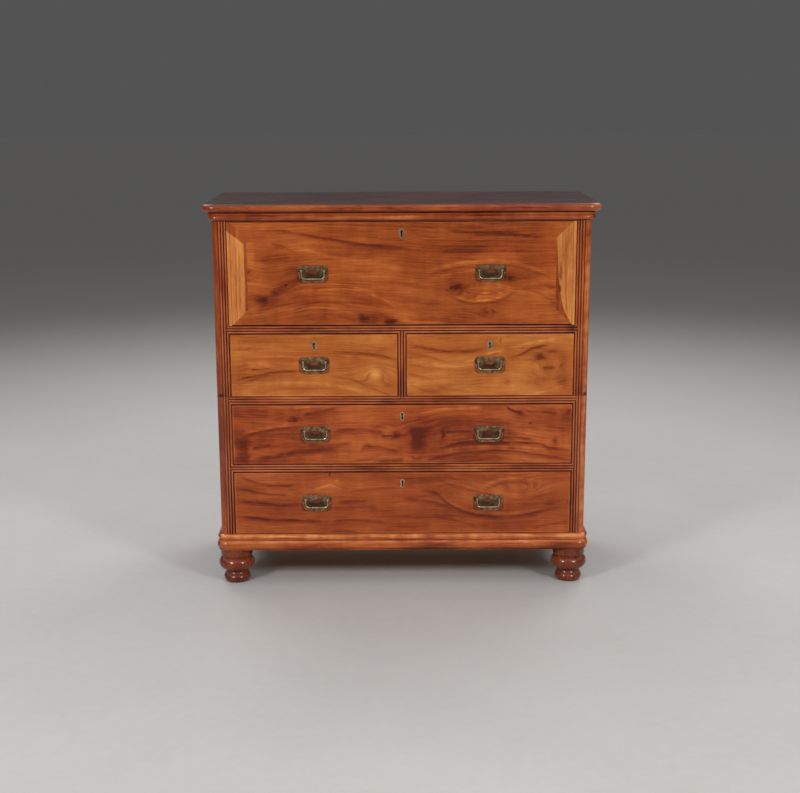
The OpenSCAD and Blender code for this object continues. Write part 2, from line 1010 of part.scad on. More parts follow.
// A turned knob standing on its base.
module knob() {
    rotate_extrude()
        polygon(concat(
            [[0, 0], [5, 0], [5, 1.5], [3, 2.5], [3, 5]],
            arc(3.2, 8.8, 4.3, -50, 90, 6),
            [[0, 13.1]]
        ));
}

module pen_drawer_left() {
    pen_drawer(0);
}

module pen_drawer_centre() {
    pen_drawer(1);
}

module pen_drawer_right() {
    pen_drawer(2);
}

// Section across the fall in y and z: rounded at its lower edge about the hinge pins.
module fall_section() {
    r = fall_pin_in;
    polygon(concat(
        [[front_set, fall_top], [front_set, pin_z]],
        arc(pin_y, pin_z, r, 180, 270, 10),
        [[fall_in_y, fall_z], [fall_in_y, fall_top]]
    ));
}

module fall_mitre_outline() {
    x = fall_x;
    c = clamp_w;
    polygon([
        [-x, fall_z - 1], [x, fall_z - 1], [x, fall_z], [x - c, fall_z + c], [x - c, fall_top - c],
        [x, fall_top], [x, fall_top + 1], [-x, fall_top + 1], [-x, fall_top], [-x + c, fall_top - c],
        [-x + c, fall_z + c], [-x, fall_z]
    ]);
}

module fall_cuts() {
    for (side = [-1, 1])
        translate([side * handle_x, front_set, (desk_open_z + top_rail_z) / 2])
            handle_pocket();
    lock_pocket(0, top_rail_z, fall_top, fall_in_y, desk_scutcheon_w);
    leather_box(1);
    stay_pocket();
    fall_pins(1);
}

// The hinge pins, let into the fall's lower corners, with some extra length.
module fall_pins(extra) {
    both_sides()
        translate([fall_x - 12, pin_y, pin_z])
            rotate([0, 90, 0])
                cylinder(r = fall_pin_r, h = 17 + extra);
}

module leather_box(extra) {
    box(-fall_x + leather_margin, fall_x - leather_margin, fall_in_y - leather_t, fall_in_y + extra,
        pin_z + leather_margin - 12, fall_top - lock_h - 8);
}

module fall_panel() {
    color(camphor)
        from_front()
            difference() {
                intersection() {
                    bar_x(-fall_x, fall_x)
                        fall_section();
                    plate_y(-1, fall_in_y + 1)
                        fall_mitre_outline();
                }
                fall_cuts();
            }
}

module fall_clamps() {
    color(sapwood)
        from_front()
            both_sides()
                difference() {
                    bar_x(fall_x - clamp_w, fall_x)
                        fall_section();
                    plate_y(-1, fall_in_y + 1)
                        fall_mitre_outline();
                    stay_pocket();
                    leather_box(1);
                    fall_pins(1);
                }
}

module writing_leather() {
    color(leather)
        from_front()
            leather_box(0);
}

// A ring sector in the plane of y and z about the hinge pins, from angle a0 to a1.
module sector(r0, r1, a0, a1, x0, x1) {
    translate([x0, pin_y, pin_z])
        rotate([90, 0, 90])
            rotate([0, 0, a0])
                rotate_extrude(angle = a1 - a0)
                    translate([r0, 0])
                        square([r1 - r0, x1 - x0]);
}

stay_a0 = stud_angle - 90 - stay_end;
stay_a1 = stud_angle + stay_end;
stay_foot = 14;

module stay_plate() {
    slack = 0.3 / stay_r * 180 / PI;
    difference() {
        union() {
            sector(stay_r - stay_w / 2, stay_r + stay_w / 2, stay_a0, stay_a1, stay_x, stay_x + stay_t);
            box(stay_x - stay_foot, stay_x, fall_in_y - 2, fall_in_y, pin_z + stay_r - 16, pin_z + stay_r + 16);
            box(stay_x, stay_x + stay_t, fall_in_y - 5, fall_in_y, pin_z + stay_r - 16, pin_z + stay_r + 16);
        }
        sector(stay_r - slot_r, stay_r + slot_r, stud_angle - 90 - slack, stud_angle + slack,
            stay_x - 1, stay_x + stay_t + 1);
        for (a = [stud_angle - 90 - slack, stud_angle + slack])
            translate([stay_x - 1, pin_y + stay_r * cos(a), pin_z + stay_r * sin(a)])
                rotate([0, 90, 0])
                    cylinder(r = slot_r, h = stay_t + 2);
    }
}

// Let into the fall for a stay: its plate at the end and its foot on the inner face.
module stay_pocket() {
    both_sides() {
        sector(stay_r - stay_w / 2, stay_r + stay_w / 2, 80, stay_a1, stay_x, fall_x + 1);
        box(stay_x - stay_foot, stay_x, fall_in_y - 2, fall_in_y + 1, pin_z + stay_r - 16, pin_z + stay_r + 16);
        box(stay_x - eps, fall_x + 1, fall_in_y - 5, fall_in_y + 1, pin_z + stay_r - 16, pin_z + stay_r + 16);
    }
}

module quadrant_stays() {
    color(brass)
        from_front()
            both_sides()
                stay_plate();
}

// Locks

// A keyhole drawn in x and z about its round top.
module keyhole() {
    union() {
        circle(3);
        translate([-1.7, -12])
            square([3.4, 12]);
        translate([0, -12])
            circle(2.3);
    }
}

// An escutcheon of width w with its keyhole, let in flush.
module escutcheon(x, z, w) {
    translate([x, 0, z])
        plate_y(front_set, front_set + 1.5)
            difference() {
                escutcheon_outline(w);
                keyhole();
            }
}

module escutcheon_outline(w) {
    low_r = 0.42 * w;
    union() {
        circle(w / 2);
        translate([-0.36 * w, -19 + low_r])
            square([0.72 * w, 19 - low_r]);
        translate([0, -19 + low_r])
            circle(low_r);
    }
}

// Lock case behind the keyhole at x, let into the wood from its back face and top edge.
module lock_case(x, open_top, top, back) {
    keyhole_z = open_top - keyhole_drop;
    difference() {
        box(x - lock_w / 2, x + lock_w / 2, back - lock_d, back, top - lock_h, top);
        bolt_space(x, top, back);
        translate([x, 0, keyhole_z])
            plate_y(back - lock_d - 1, back + 1)
                keyhole();
    }
}

module bolt_space(x, top, back) {
    box(x - bolt_w / 2 - bolt_fit, x + bolt_w / 2 + bolt_fit, back - bolt_y - bolt_t - bolt_fit,
        back - bolt_y + bolt_fit, top - 13, top + 1);
}

// The pocket for the lock case, the escutcheon and the key.
module lock_pocket(x, open_top, top, back, w) {
    keyhole_z = open_top - keyhole_drop;
    box(x - lock_w / 2, x + lock_w / 2, back - lock_d, back + 1, top - lock_h, top + 1);
    translate([x, 0, keyhole_z]) {
        plate_y(front_set - 1, front_set + 1.5)
            escutcheon_outline(w);
        plate_y(front_set - 1, back)
            keyhole();
    }
}

module bolt(x, top, back) {
    color(brass)
        from_front()
            box(x - bolt_w / 2, x + bolt_w / 2, back - bolt_y - bolt_t, back - bolt_y, top - 13 + bolt_fit, top - 0.2);
}

// Handle plates, escutcheon and lock case of one drawer front.
module front_brass(xs, lock_x, z, open_top, top, back, w) {
    color(brass)
        from_front() {
            for (x = xs)
                translate([x, front_set, z])
                    handle_plate();
            escutcheon(lock_x, open_top - keyhole_drop, w);
            lock_case(lock_x, open_top, top, back);
        }
}

module front_bail(x, z) {
    color(brass)
        from_front()
            translate([x, front_set, z])
                handle_bail();
}

desk_handle_z = (desk_open_z + top_rail_z) / 2;

module fall_brass() {
    front_brass([-handle_x, handle_x], 0, desk_handle_z, top_rail_z, fall_top, fall_in_y, desk_scutcheon_w);
    color(brass)
        from_front()
            fall_pins(0);
}

module fall_bail_left() {
    front_bail(-handle_x, desk_handle_z);
}

module fall_bail_right() {
    front_bail(handle_x, desk_handle_z);
}

module fall_bolt() {
    bolt(0, fall_top, fall_in_y);
}

// Drawers. o is the drawer's opening, lift is the height of the board that it runs on.

function front_left(o) = o[0] + gap_side;
function front_right(o) = o[1] - gap_side;
function front_low(o) = o[2] + gap_bottom;
function front_top(o) = o[3] - gap_top;
function middle(o) = (o[2] + o[3]) / 2;

// Dovetails on the front end of a drawer side between heights z0 and z1.
module tails(z0, z1) {
    n = 4;
    pitch = (z1 - z0) / n;
    for (i = [0 : n - 1])
        translate([0, z0 + (i + 0.5) * pitch])
            polygon([
                [box_y, -pitch * 0.26], [box_y, pitch * 0.26], [box_y - tail_l, pitch * 0.36],
                [box_y - tail_l, -pitch * 0.36]
            ]);
}

module tails_at(o, z0) {
    top = front_top(o) - 8;
    for (x = [front_left(o), front_right(o) - drawer_side_t])
        bar_x(x, x + drawer_side_t)
            tails(z0 + 6, top);
}

module drawer_front(o, lift, xs, lock_x, scutcheon_w) {
    color(camphor)
        from_front()
            difference() {
                box(front_left(o), front_right(o), front_set, box_y, front_low(o), front_top(o));
                tails_at(o, lift);
                for (x = xs)
                    translate([x, front_set, middle(o)])
                        handle_pocket();
                lock_pocket(lock_x, o[3], front_top(o), box_y, scutcheon_w);
            }
}

// Sides, back and bottom of a drawer, as separate boards.
module drawer_box(o, lift) {
    z0 = lift + slide_gap;
    z1 = front_top(o) - 8;
    floor_low = z0 + 8;
    floor_high = floor_low + drawer_bottom_t;
    x0 = front_left(o);
    x1 = front_right(o);
    t = drawer_side_t;
    g = groove_gap;
    color(camphor_light)
        from_front() {
            difference() {
                union() {
                    for (x = [x0, x1 - t]) {
                        box(x, x + t, box_y, drawer_end, z0, z1);
                        bar_x(x, x + t)
                            tails(lift + 6, z1);
                    }
                    box(x0 + t + seam, x1 - t - seam, drawer_end - t, drawer_end, floor_high + g, z1 - 6);
                }
                box(x0 + t - groove_d, x1 - t + groove_d, box_y - 1, drawer_end + 1, floor_low - g, floor_high + g);
            }
            box(x0 + t - groove_d + g, x1 - t + groove_d - g, box_y + g, drawer_end, floor_low, floor_high);
        }
}

module drawer_brass(o, xs, lock_x, scutcheon_w) {
    front_brass(xs, lock_x, middle(o), o[3], front_top(o), box_y, scutcheon_w);
}

short_lift = lower_top + upper_bottom_t;

module short_left_front() {
    drawer_front(short_left_opening, short_lift, [-handle_x], -handle_x, short_scutcheon_w);
}

module short_left_box() {
    drawer_box(short_left_opening, short_lift);
}

module short_left_brass() {
    drawer_brass(short_left_opening, [-handle_x], -handle_x, short_scutcheon_w);
}

module short_left_bail() {
    front_bail(-handle_x, middle(short_left_opening));
}

module short_left_bolt() {
    bolt(-handle_x, front_top(short_left_opening), box_y);
}

module short_right_front() {
    drawer_front(short_right_opening, short_lift, [handle_x], handle_x, short_scutcheon_w);
}

module short_right_box() {
    drawer_box(short_right_opening, short_lift);
}

module short_right_brass() {
    drawer_brass(short_right_opening, [handle_x], handle_x, short_scutcheon_w);
}

module short_right_bail() {
    front_bail(handle_x, middle(short_right_opening));
}

module short_right_bolt() {
    bolt(handle_x, front_top(short_right_opening), box_y);
}

module long_upper_front() {
    drawer_front(mid_opening, mid_open_z, [-handle_x, handle_x], 0, long_scutcheon_w);
}

module long_upper_box() {
    drawer_box(mid_opening, mid_open_z);
}

module long_upper_brass() {
    drawer_brass(mid_opening, [-handle_x, handle_x], 0, long_scutcheon_w);
}

module long_upper_bail_left() {
    front_bail(-handle_x, middle(mid_opening));
}

module long_upper_bail_right() {
    front_bail(handle_x, middle(mid_opening));
}

module long_upper_bolt() {
    bolt(0, front_top(mid_opening), box_y);
}

module long_lower_front() {
    drawer_front(low_opening, plinth_top, [-handle_x, handle_x], 0, long_scutcheon_w);
}

module long_lower_box() {
    drawer_box(low_opening, plinth_top);
}

module long_lower_brass() {
    drawer_brass(low_opening, [-handle_x, handle_x], 0, long_scutcheon_w);
}

module long_lower_bail_left() {
    front_bail(-handle_x, middle(low_opening));
}

module long_lower_bail_right() {
    front_bail(handle_x, middle(low_opening));
}

module long_lower_bolt() {
    bolt(0, front_top(low_opening), box_y);
}

lower_sides();
lower_posts();
lower_rails();
lower_dust_frames();
lower_bottom();
lower_back();
plinth();
feet();
locating_dowels();
lower_side_plates();
side_bail_lower_left();
side_bail_lower_right();
top_board();
cornice();
upper_sides();
upper_posts();
upper_rails();
upper_divider();
upper_dust_frames();
upper_bottom();
upper_back();
upper_side_plates();
side_bail_upper_left();
side_bail_upper_right();
desk_box();
desk_floor();
pigeonholes();
pen_drawer_left();
pen_drawer_centre();
pen_drawer_right();
fall_panel();
fall_clamps();
writing_leather();
quadrant_stays();
fall_brass();
fall_bail_left();
fall_bail_right();
fall_bolt();
short_left_front();
short_left_box();
short_left_brass();
short_left_bail();
short_left_bolt();
short_right_front();
short_right_box();
short_right_brass();
short_right_bail();
short_right_bolt();
long_upper_front();
long_upper_box();
long_upper_brass();
long_upper_bail_left();
long_upper_bail_right();
long_upper_bolt();
long_lower_front();
long_lower_box();
long_lower_brass();
long_lower_bail_left();
long_lower_bail_right();
long_lower_bolt();
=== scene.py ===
import functools
import json
import math

import bmesh
import bpy
from mathutils import Matrix, Vector
from mathutils.bvhtree import BVHTree


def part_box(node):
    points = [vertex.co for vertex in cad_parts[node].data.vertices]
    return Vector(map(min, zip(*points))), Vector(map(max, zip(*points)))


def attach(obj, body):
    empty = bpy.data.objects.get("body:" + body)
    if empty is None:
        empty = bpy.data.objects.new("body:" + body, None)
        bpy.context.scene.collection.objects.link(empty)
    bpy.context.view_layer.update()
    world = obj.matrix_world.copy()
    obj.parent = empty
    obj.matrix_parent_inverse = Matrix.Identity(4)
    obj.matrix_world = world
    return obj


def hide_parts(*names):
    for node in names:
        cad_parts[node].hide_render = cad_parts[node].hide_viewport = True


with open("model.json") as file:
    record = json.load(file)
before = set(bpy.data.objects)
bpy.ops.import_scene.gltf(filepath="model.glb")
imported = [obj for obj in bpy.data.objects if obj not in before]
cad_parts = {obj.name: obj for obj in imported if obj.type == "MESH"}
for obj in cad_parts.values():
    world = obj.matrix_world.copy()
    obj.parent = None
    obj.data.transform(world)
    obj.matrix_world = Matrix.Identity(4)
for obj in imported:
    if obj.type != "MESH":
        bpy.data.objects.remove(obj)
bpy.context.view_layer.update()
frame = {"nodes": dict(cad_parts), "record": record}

MM = 0.001
FRONT = -0.203               # y of the reeds' crests, the plane that the figures are drawn on
REED = 0.0075                # width of a reed
RINGS = 130.0                # year rings per metre of the wood
OPEN_X = 0.482               # half the width of the opening between the posts
CASE_JOINT = 0.557           # z of the joint between the two cases
HANDLE_X = 0.246             # x of the handles, on both sides
HANDLE_Z = {"fall_panel": 0.903, "short_left_front": 0.6455, "short_right_front": 0.6455,
            "long_upper_front": 0.4455, "long_lower_front": 0.243}
ROWS = sorted(set(HANDLE_Z.values()), reverse=True)
PLATE = (0.043, 0.0235)      # half the width and height of a handle plate
NODES = frame["nodes"]
BODY_OF = {n: b for b, ns in frame["record"]["behaviour"]["bodies"].items() for n in ns}

# The camera, fitted to the photograph
EYE = Vector((-0.0128, -3.950, 1.3998))
FOCAL = 1363.16              # its focal length in pixels
PICTURE = 800.0              # the width of the photograph in pixels
MIDDLE = (400.0, 396.5)      # its middle
PIXEL = 2.8                  # about how many mm of the fronts a pixel shows


def view_axes():
    """The camera's directions ahead, to the right and up."""
    tilt, turn, roll = 0.22165, 0.0018, -0.00375
    ahead = Vector((math.sin(turn) * math.cos(tilt), math.cos(turn) * math.cos(tilt), -math.sin(tilt)))
    side = Vector((math.cos(turn), -math.sin(turn), 0.0))
    above = side.cross(ahead)
    right = math.cos(roll) * side + math.sin(roll) * above
    return ahead, right, -math.sin(roll) * side + math.cos(roll) * above


def at(px, py):
    """The place (x, z) on the fronts that the pixel (px, py) of the photograph shows."""
    a, b = (px - MIDDLE[0]) / FOCAL, (MIDDLE[1] - py) / FOCAL
    ahead, right, up = view_axes()
    ray = ahead + right * a + up * b
    k = (FRONT - EYE.y) / ray.y
    return EYE.x + ray.x * k, EYE.z + ray.z * k


# ---------------------------------------------------------------- materials

class Shade:
    """A material's node tree. Most methods add nodes and return the output socket."""

    def __init__(self, name):
        self.mat = bpy.data.materials.new(name)
        self.mat.use_nodes = True
        self.tree = self.mat.node_tree
        self.tree.nodes.clear()
        out = self.node("ShaderNodeOutputMaterial")
        self.bsdf = self.node("ShaderNodeBsdfPrincipled")
        self.tree.links.new(self.bsdf.outputs[0], out.inputs[0])
        self.place = self.node("ShaderNodeTexCoord").outputs["Object"]

    def node(self, kind, **props):
        n = self.tree.nodes.new(kind)
        for k, v in props.items():
            setattr(n, k, v)
        return n

    def put(self, socket, value):
        if isinstance(value, bpy.types.NodeSocket):
            self.tree.links.new(value, socket)
        else:
            socket.default_value = value

    def set(self, **values):
        for k, v in values.items():
            self.put(self.bsdf.inputs[k.replace("_", " ")], v)

    def math(self, op, a, b=None, c=None):
        n = self.node("ShaderNodeMath", operation=op)
        for i, v in enumerate((a, b, c)):
            if v is not None:
                self.put(n.inputs[i], v)
        return n.outputs[0]

    def fold(self, op, values):
        """The values joined by the operation, one after another, or None without values."""
        return functools.reduce(lambda a, b: self.math(op, a, b), values) if values else None

    def flip(self, x):
        return self.math("SUBTRACT", 1.0, x)

    def swing(self, x, k):
        """k times how far x is from a half."""
        return self.math("MULTIPLY", self.math("SUBTRACT", x, 0.5), k)

    def vec(self, op, a, b=None):
        n = self.node("ShaderNodeVectorMath", operation=op)
        self.put(n.inputs[0], a)
        if b is not None:
            self.put(n.inputs[1], b)
        return n.outputs["Value" if op in ("DOT_PRODUCT", "LENGTH") else "Vector"]

    def split(self, v):
        n = self.node("ShaderNodeSeparateXYZ")
        self.put(n.inputs[0], v)
        return n.outputs

    def join(self, x, y, z):
        n = self.node("ShaderNodeCombineXYZ")
        for i, v in enumerate((x, y, z)):
            self.put(n.inputs[i], v)
        return n.outputs[0]

    def noise(self, v, scale=1.0, detail=2.0, rough=0.5, out="Fac"):
        n = self.node("ShaderNodeTexNoise")
        for k, x in (("Vector", v), ("Scale", scale), ("Detail", detail), ("Roughness", rough)):
            self.put(n.inputs[k], x)
        return n.outputs[out]

    def ramp(self, fac, stops):
        n = self.node("ShaderNodeValToRGB")
        e = n.color_ramp.elements
        while len(e) < len(stops):
            e.new(0.5)
        for el, (pos, colour) in zip(e, stops):
            el.position = pos
            el.color = (*colour, 1.0)
        self.put(n.inputs[0], fac)
        return n.outputs[0]

    def mix(self, fac, a, b, blend="MIX"):
        n = self.node("ShaderNodeMix", data_type="RGBA", blend_type=blend)
        self.put(n.inputs["Factor"], fac)
        for k, v in ((6, a), (7, b)):
            self.put(n.inputs[k], v if isinstance(v, bpy.types.NodeSocket) else (*v, 1.0))
        return n.outputs[2]

    def fit(self, v, a, b, c=0.0, d=1.0, smooth=True):
        """v taken from the range a to b into the range c to d."""
        n = self.node("ShaderNodeMapRange", interpolation_type="SMOOTHSTEP" if smooth else "LINEAR")
        for i, x in enumerate((v, a, b, c, d)):
            self.put(n.inputs[i], x)
        return n.outputs[0]

    def bump(self, height, strength, distance):
        n = self.node("ShaderNodeBump")
        for k, v in (("Strength", strength), ("Distance", distance), ("Height", height)):
            self.put(n.inputs[k], v)
        self.set(Normal=n.outputs[0])


def srgb(r, g, b):
    return tuple(c / 12.92 if c <= 0.04045 else ((c + 0.055) / 1.055) ** 2.4 for c in (r / 255, g / 255, b / 255))


# Five tones of each wood, from the darkest streak to the palest, and their stops on the scale of wood()
TONES = {name: [srgb(*tone) for tone in row] for name, row in {
    "fall": ((74, 23, 6), (128, 53, 17), (159, 77, 28), (182, 98, 41), (210, 134, 68)),
    "short": ((104, 42, 12), (154, 76, 26), (177, 98, 40), (195, 119, 54), (214, 144, 76)),
    "mid": ((88, 27, 5), (124, 47, 12), (158, 73, 28), (182, 94, 40), (208, 124, 62)),
    "low": ((86, 29, 6), (128, 51, 15), (154, 71, 28), (176, 91, 39), (202, 120, 60)),
    "frame": ((66, 18, 7), (116, 44, 17), (150, 68, 30), (174, 89, 43), (202, 120, 66)),
    # the plinth's tones are made paler as painted light, since it gets less light than the fronts
    "plinth": ((80, 26, 9), (134, 56, 21), (170, 84, 38), (192, 106, 52), (216, 138, 80)),
    "feet": ((40, 10, 4), (80, 28, 11), (116, 48, 20), (142, 66, 31), (172, 92, 48)),
    # top: the upper face of the top board, dark as painted shade
    "top": ((30, 8, 3), (44, 14, 5), (56, 19, 7), (70, 27, 11), (92, 42, 20)),
    "sap": ((146, 78, 32), (186, 112, 54), (206, 134, 70), (220, 154, 86), (234, 176, 108)),
    "inside": ((128, 80, 44), (160, 108, 66), (182, 130, 84), (198, 148, 102), (214, 168, 122)),
}.items()}
TONE_STOPS = (0.06, 0.30, 0.50, 0.70, 0.94)


def spot(s, pos, u, v, su, sv, square=False):
    """A soft elliptical or squarish spot at (u, v), 1 in its middle, with half-widths su and sv."""
    d = s.vec("MULTIPLY", s.vec("SUBTRACT", pos, (u, v, 0.0)), (1.0 / su, 1.0 / sv, 0.0))
    if square:
        d = s.vec("MULTIPLY", d, d)
    return s.math("EXPONENT", s.math("MULTIPLY", s.vec("DOT_PRODUCT", d, d), -1.0))


def along_run(s, u, points):
    """u as a share of the way from the first of the sorted points to the last."""
    return s.math("DIVIDE", s.math("SUBTRACT", u, points[0][0]), points[-1][0] - points[0][0])


def curve(s, u, points):
    """The smooth curve through points (u, v), as a value over the socket u."""
    points = sorted(points)
    us, vs = zip(*points)
    v0, v1 = min(vs) - 0.001, max(vs) + 0.001
    n = s.node("ShaderNodeFloatCurve")
    c = n.mapping.curves[0]
    while len(c.points) < len(points):
        c.points.new(0.5, 0.5)
    for q, (pu, pv) in zip(c.points, points):
        q.location = ((pu - us[0]) / (us[-1] - us[0]), (pv - v0) / (v1 - v0))
    n.mapping.update()
    s.put(n.inputs["Value"], along_run(s, u, points))
    return s.math("MULTIPLY_ADD", n.outputs[0], v1 - v0, v0)


def trace(s, u, v, points, width):
    """A line along a smooth curve through points, which run along the grain.

    It is sharp above, fades more slowly below, and thins out at both ends.
    """
    d = s.math("DIVIDE", s.math("SUBTRACT", v, curve(s, u, points)), width)
    d = s.math("MAXIMUM", d, s.math("MULTIPLY", d, -0.42))
    g = s.math("EXPONENT", s.math("MULTIPLY", s.math("MULTIPLY", d, d), -1.0))
    run = along_run(s, u, sorted(points))
    ends = s.math("MULTIPLY", s.math("MULTIPLY", run, s.flip(run)), 9.0)
    return s.math("MULTIPLY", g, s.math("MINIMUM", s.math("MAXIMUM", ends, 0.0), 1.0))


def inset(s, xyz, outline):
    """How far a place is inside the outline (x0, x1, z0, z1)."""
    x0, x1, z0, z1 = outline
    px = s.math("MINIMUM", s.math("SUBTRACT", xyz[0], x0), s.math("SUBTRACT", x1, xyz[0]))
    pz = s.math("MINIMUM", s.math("SUBTRACT", xyz[2], z0), s.math("SUBTRACT", z1, xyz[2]))
    return s.math("MINIMUM", px, pz)


def outline_of(node):
    lo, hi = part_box(node)
    return lo.x, hi.x, lo.z, hi.z


def drawn(s, marks, u, v, solid, f):
    """Lays the marks of wood() over its figure: returns the bent f, and how dark and how pale they are."""
    if not marks:
        return f, None, None
    flat = s.join(u, v, 0.0)
    tremble = s.swing(s.noise(s.vec("MULTIPLY", solid, (40.0, 90.0, 90.0))), 0.0035)
    wobble = s.noise(s.vec("MULTIPLY", solid, (45.0, 70.0, 70.0)), 1.0, 3.0, out="Color")
    wobble = s.vec("MULTIPLY", s.vec("SUBTRACT", wobble, (0.5, 0.5, 0.5)), (0.022, 0.013, 0.0))
    ragged = s.vec("ADD", flat, wobble)
    dark, pale = [], []
    for kind, *m in marks:
        if kind == "hill":
            f = s.math("MULTIPLY_ADD", spot(s, flat, *m[:4]), m[4], f)
            continue
        if kind == "knot":
            # the grain parts round a small core with a soft dark ring
            ku, kv, size, strength = m
            g = spot(s, flat, ku, kv, size * 4.5, size * 2.6)
            f = s.math("SUBTRACT", f, s.math("MULTIPLY", s.math("SUBTRACT", v, kv), g))
            core = s.math("MULTIPLY", spot(s, ragged, ku, kv, size * 0.8, size * 0.7), strength)
            ring = s.math("MULTIPLY", spot(s, ragged, ku, kv, size * 2.4, size * 1.5), strength * 0.45)
            g = s.math("MAXIMUM", core, ring)
        elif kind in ("darkline", "paleline"):
            points, width, strength = m
            g = s.math("MULTIPLY", trace(s, u, s.math("ADD", v, tremble), points, width), strength)
        else:
            g = s.math("MULTIPLY", spot(s, ragged, *m[:4], square=kind == "block"), m[4])
        (pale if kind.startswith("pale") else dark).append(g)
    return f, s.fold("MAXIMUM", dark), s.fold("MAXIMUM", pale)


def wood(name, axes, tones, marks=(), seed=0.0, wave=1.0, polish=1.0, contrast=1.0, lines=1.0, worn=0.0,
         grooves=(), outline=None, halos=(), boards=None, heartwood_and_shade=None, heartwood_and_shade_tones="fall"):
    """Camphor wood.

    axes      the directions along the grain (u), across it (v) and into the board (w)
    tones     its row of TONES
    marks     features of the figure, in metres along and across the grain: ("hill", u, v, su, sv, height) bends
              the grain into an eye or a flame, ("knot", u, v, size, strength) is a knot, ("dark", "block" or
              "pale", u, v, su, sv, strength) is a patch with half-widths su and sv, and ("darkline" or
              "paleline", points, width, strength) is a line of the figure
    seed      the place in the noise from which the figure is taken
    wave      how far the grain wanders
    polish    0 for raw wood, 1 for waxed fronts, up to 2 for a clear coat
    contrast  the strength of the streaks, and lines that of the year rings
    worn      lightens an edge in spots, as wear and a painted highlight
    grooves   (axis, start) of three reeds, with painted shade and old polish in the grooves between them and painted highlights on their crests
    outline   (x0, x1, z0, z1) of a front, with painted shadow and old polish at its rim, and wear and a painted highlight just inside
    halos     (x, z, half-width, half-height) of plates, with darkened wood round them
    boards    start and width of boards side by side, each with its own figure and shade, dusty in the joints
    heart     a function that says where the wood takes the heartwood_and_shade_tones instead: the clamps' heartwood, and a painted shade on the top board's upper face
    """
    s = Shade(name)
    xyz = s.split(s.place)
    u, v, w = (xyz["xyz".index(a)] for a in axes)
    shift = seed
    if boards:
        # how many boards along a place is
        number = s.math("FLOOR", s.math("DIVIDE", s.math("SUBTRACT", v, boards[0]), boards[1]))
        shift = s.math("MULTIPLY_ADD", number, 1.37, seed)
    solid = s.join(s.math("ADD", u, shift), s.math("ADD", v, seed * 0.37), w)

    # f is the height of the grain: v, bent by slow and quick waves and by the marks
    slow = s.noise(s.vec("MULTIPLY", solid, (1.9, 4.2, 4.2)))
    quick = s.noise(s.vec("MULTIPLY", solid, (8.0, 19.0, 19.0)))
    f = s.math("MULTIPLY_ADD", s.math("SUBTRACT", slow, 0.5), 0.09 * wave, v)
    f = s.math("MULTIPLY_ADD", s.math("SUBTRACT", quick, 0.5), 0.014 * wave, f)
    f, dark, pale = drawn(s, marks, u, v, solid, f)

    along = s.math("ADD", u, s.math("MULTIPLY", shift, 1.7) if boards else seed * 1.7)
    deep = s.math("ADD", w, seed)

    def streak(ku, kf, detail):
        """Noise with ku waves per metre along the grain and kf across it."""
        return s.noise(s.join(s.math("MULTIPLY", along, ku), s.math("MULTIPLY", f, kf),
                              s.math("MULTIPLY", deep, kf * 0.7)), 1.0, detail, 0.55)

    cloud = streak(4.5, 11.0, 3.0)
    band = streak(2.6, 34.0, 3.0)
    mid = streak(8.0, 170.0, 3.0)
    fine = streak(22.0, 640.0, 2.0)
    fleck = streak(62.0, 430.0, 1.0)
    pores = streak(95.0, 2300.0, 1.0)
    shimmer = s.noise(s.vec("MULTIPLY", solid, (38.0, 11.0, 11.0)), 1.0, 1.0)
    ring = s.math("FRACT", s.math("MULTIPLY_ADD", band, 2.0, s.math("MULTIPLY", f, RINGS)))
    early = s.math("MULTIPLY", s.math("POWER", ring, 4.0), s.fit(cloud, 0.46, 0.60))
    late = s.math("MULTIPLY", s.math("POWER", s.flip(ring), 4.0), s.fit(cloud, 0.54, 0.40))

    # t is the tone, from 0 for the darkest streaks to 1 for the palest
    streaks = [s.swing(x, k * contrast) for x, k in ((cloud, 0.95), (band, 0.75), (mid, 0.62), (fine, 0.62))]
    t = s.fold("ADD", [*streaks, s.math("MULTIPLY_ADD", early, 0.13 * lines, 0.5)])
    t = s.math("SUBTRACT", t, s.math("MULTIPLY", late, 0.13 * lines))
    t = s.math("ADD", t, s.swing(shimmer, 0.30 * contrast))
    broken = s.math("ADD", s.math("SUBTRACT", mid, 0.5), s.math("SUBTRACT", shimmer, 0.5))
    broken = s.math("ADD", 0.72, s.math("MULTIPLY", broken, 1.7))
    for op, strength in (("SUBTRACT", dark), ("ADD", pale)):
        if strength is not None:
            t = s.math(op, t, s.math("MULTIPLY", strength, broken))
    for dots, start, depth in ((fleck, 0.62, 0.11), (pores, 0.58, 0.12)):
        t = s.math("SUBTRACT", t, s.math("MULTIPLY", s.fit(dots, start, 0.72), depth))
    if worn:
        t = s.math("ADD", t, s.math("MULTIPLY", s.noise(solid, 160.0), worn))
    if boards:
        t = s.math("ADD", t, s.swing(s.math("FRACT", s.math("MULTIPLY", number, 0.618)), 0.22))

    def toned(row):
        return s.ramp(s.math("MAXIMUM", t, 0.0), list(zip(TONE_STOPS, TONES[row])))

    colour = toned(tones)
    if heartwood_and_shade:
        where = heartwood_and_shade(s, xyz)
        colour = s.mix(where, colour, toned(heartwood_and_shade_tones))
    # a reddish drift over the whole board
    drift = s.noise(s.vec("MULTIPLY", solid, (3.0, 7.0, 7.0)), 1.0, 1.0)
    colour = s.mix(s.fit(drift, 0.35, 0.7, 0.0, 0.35), colour, (0.90, 0.66, 0.55), "MULTIPLY")

    # the first list darkens: old polish and dust, and painted shade in the grooves and at the fronts' rims; the
    # second lightens: rubbed places, and painted highlights on the reeds' crests and the arrises
    dirt_and_shade, rubbing_and_highlights = [], []
    for axis, start in grooves:
        c = xyz["xyz".index(axis)]
        if start == OPEN_X:
            c = s.math("ABSOLUTE", c)      # the posts' reeds stand on both sides
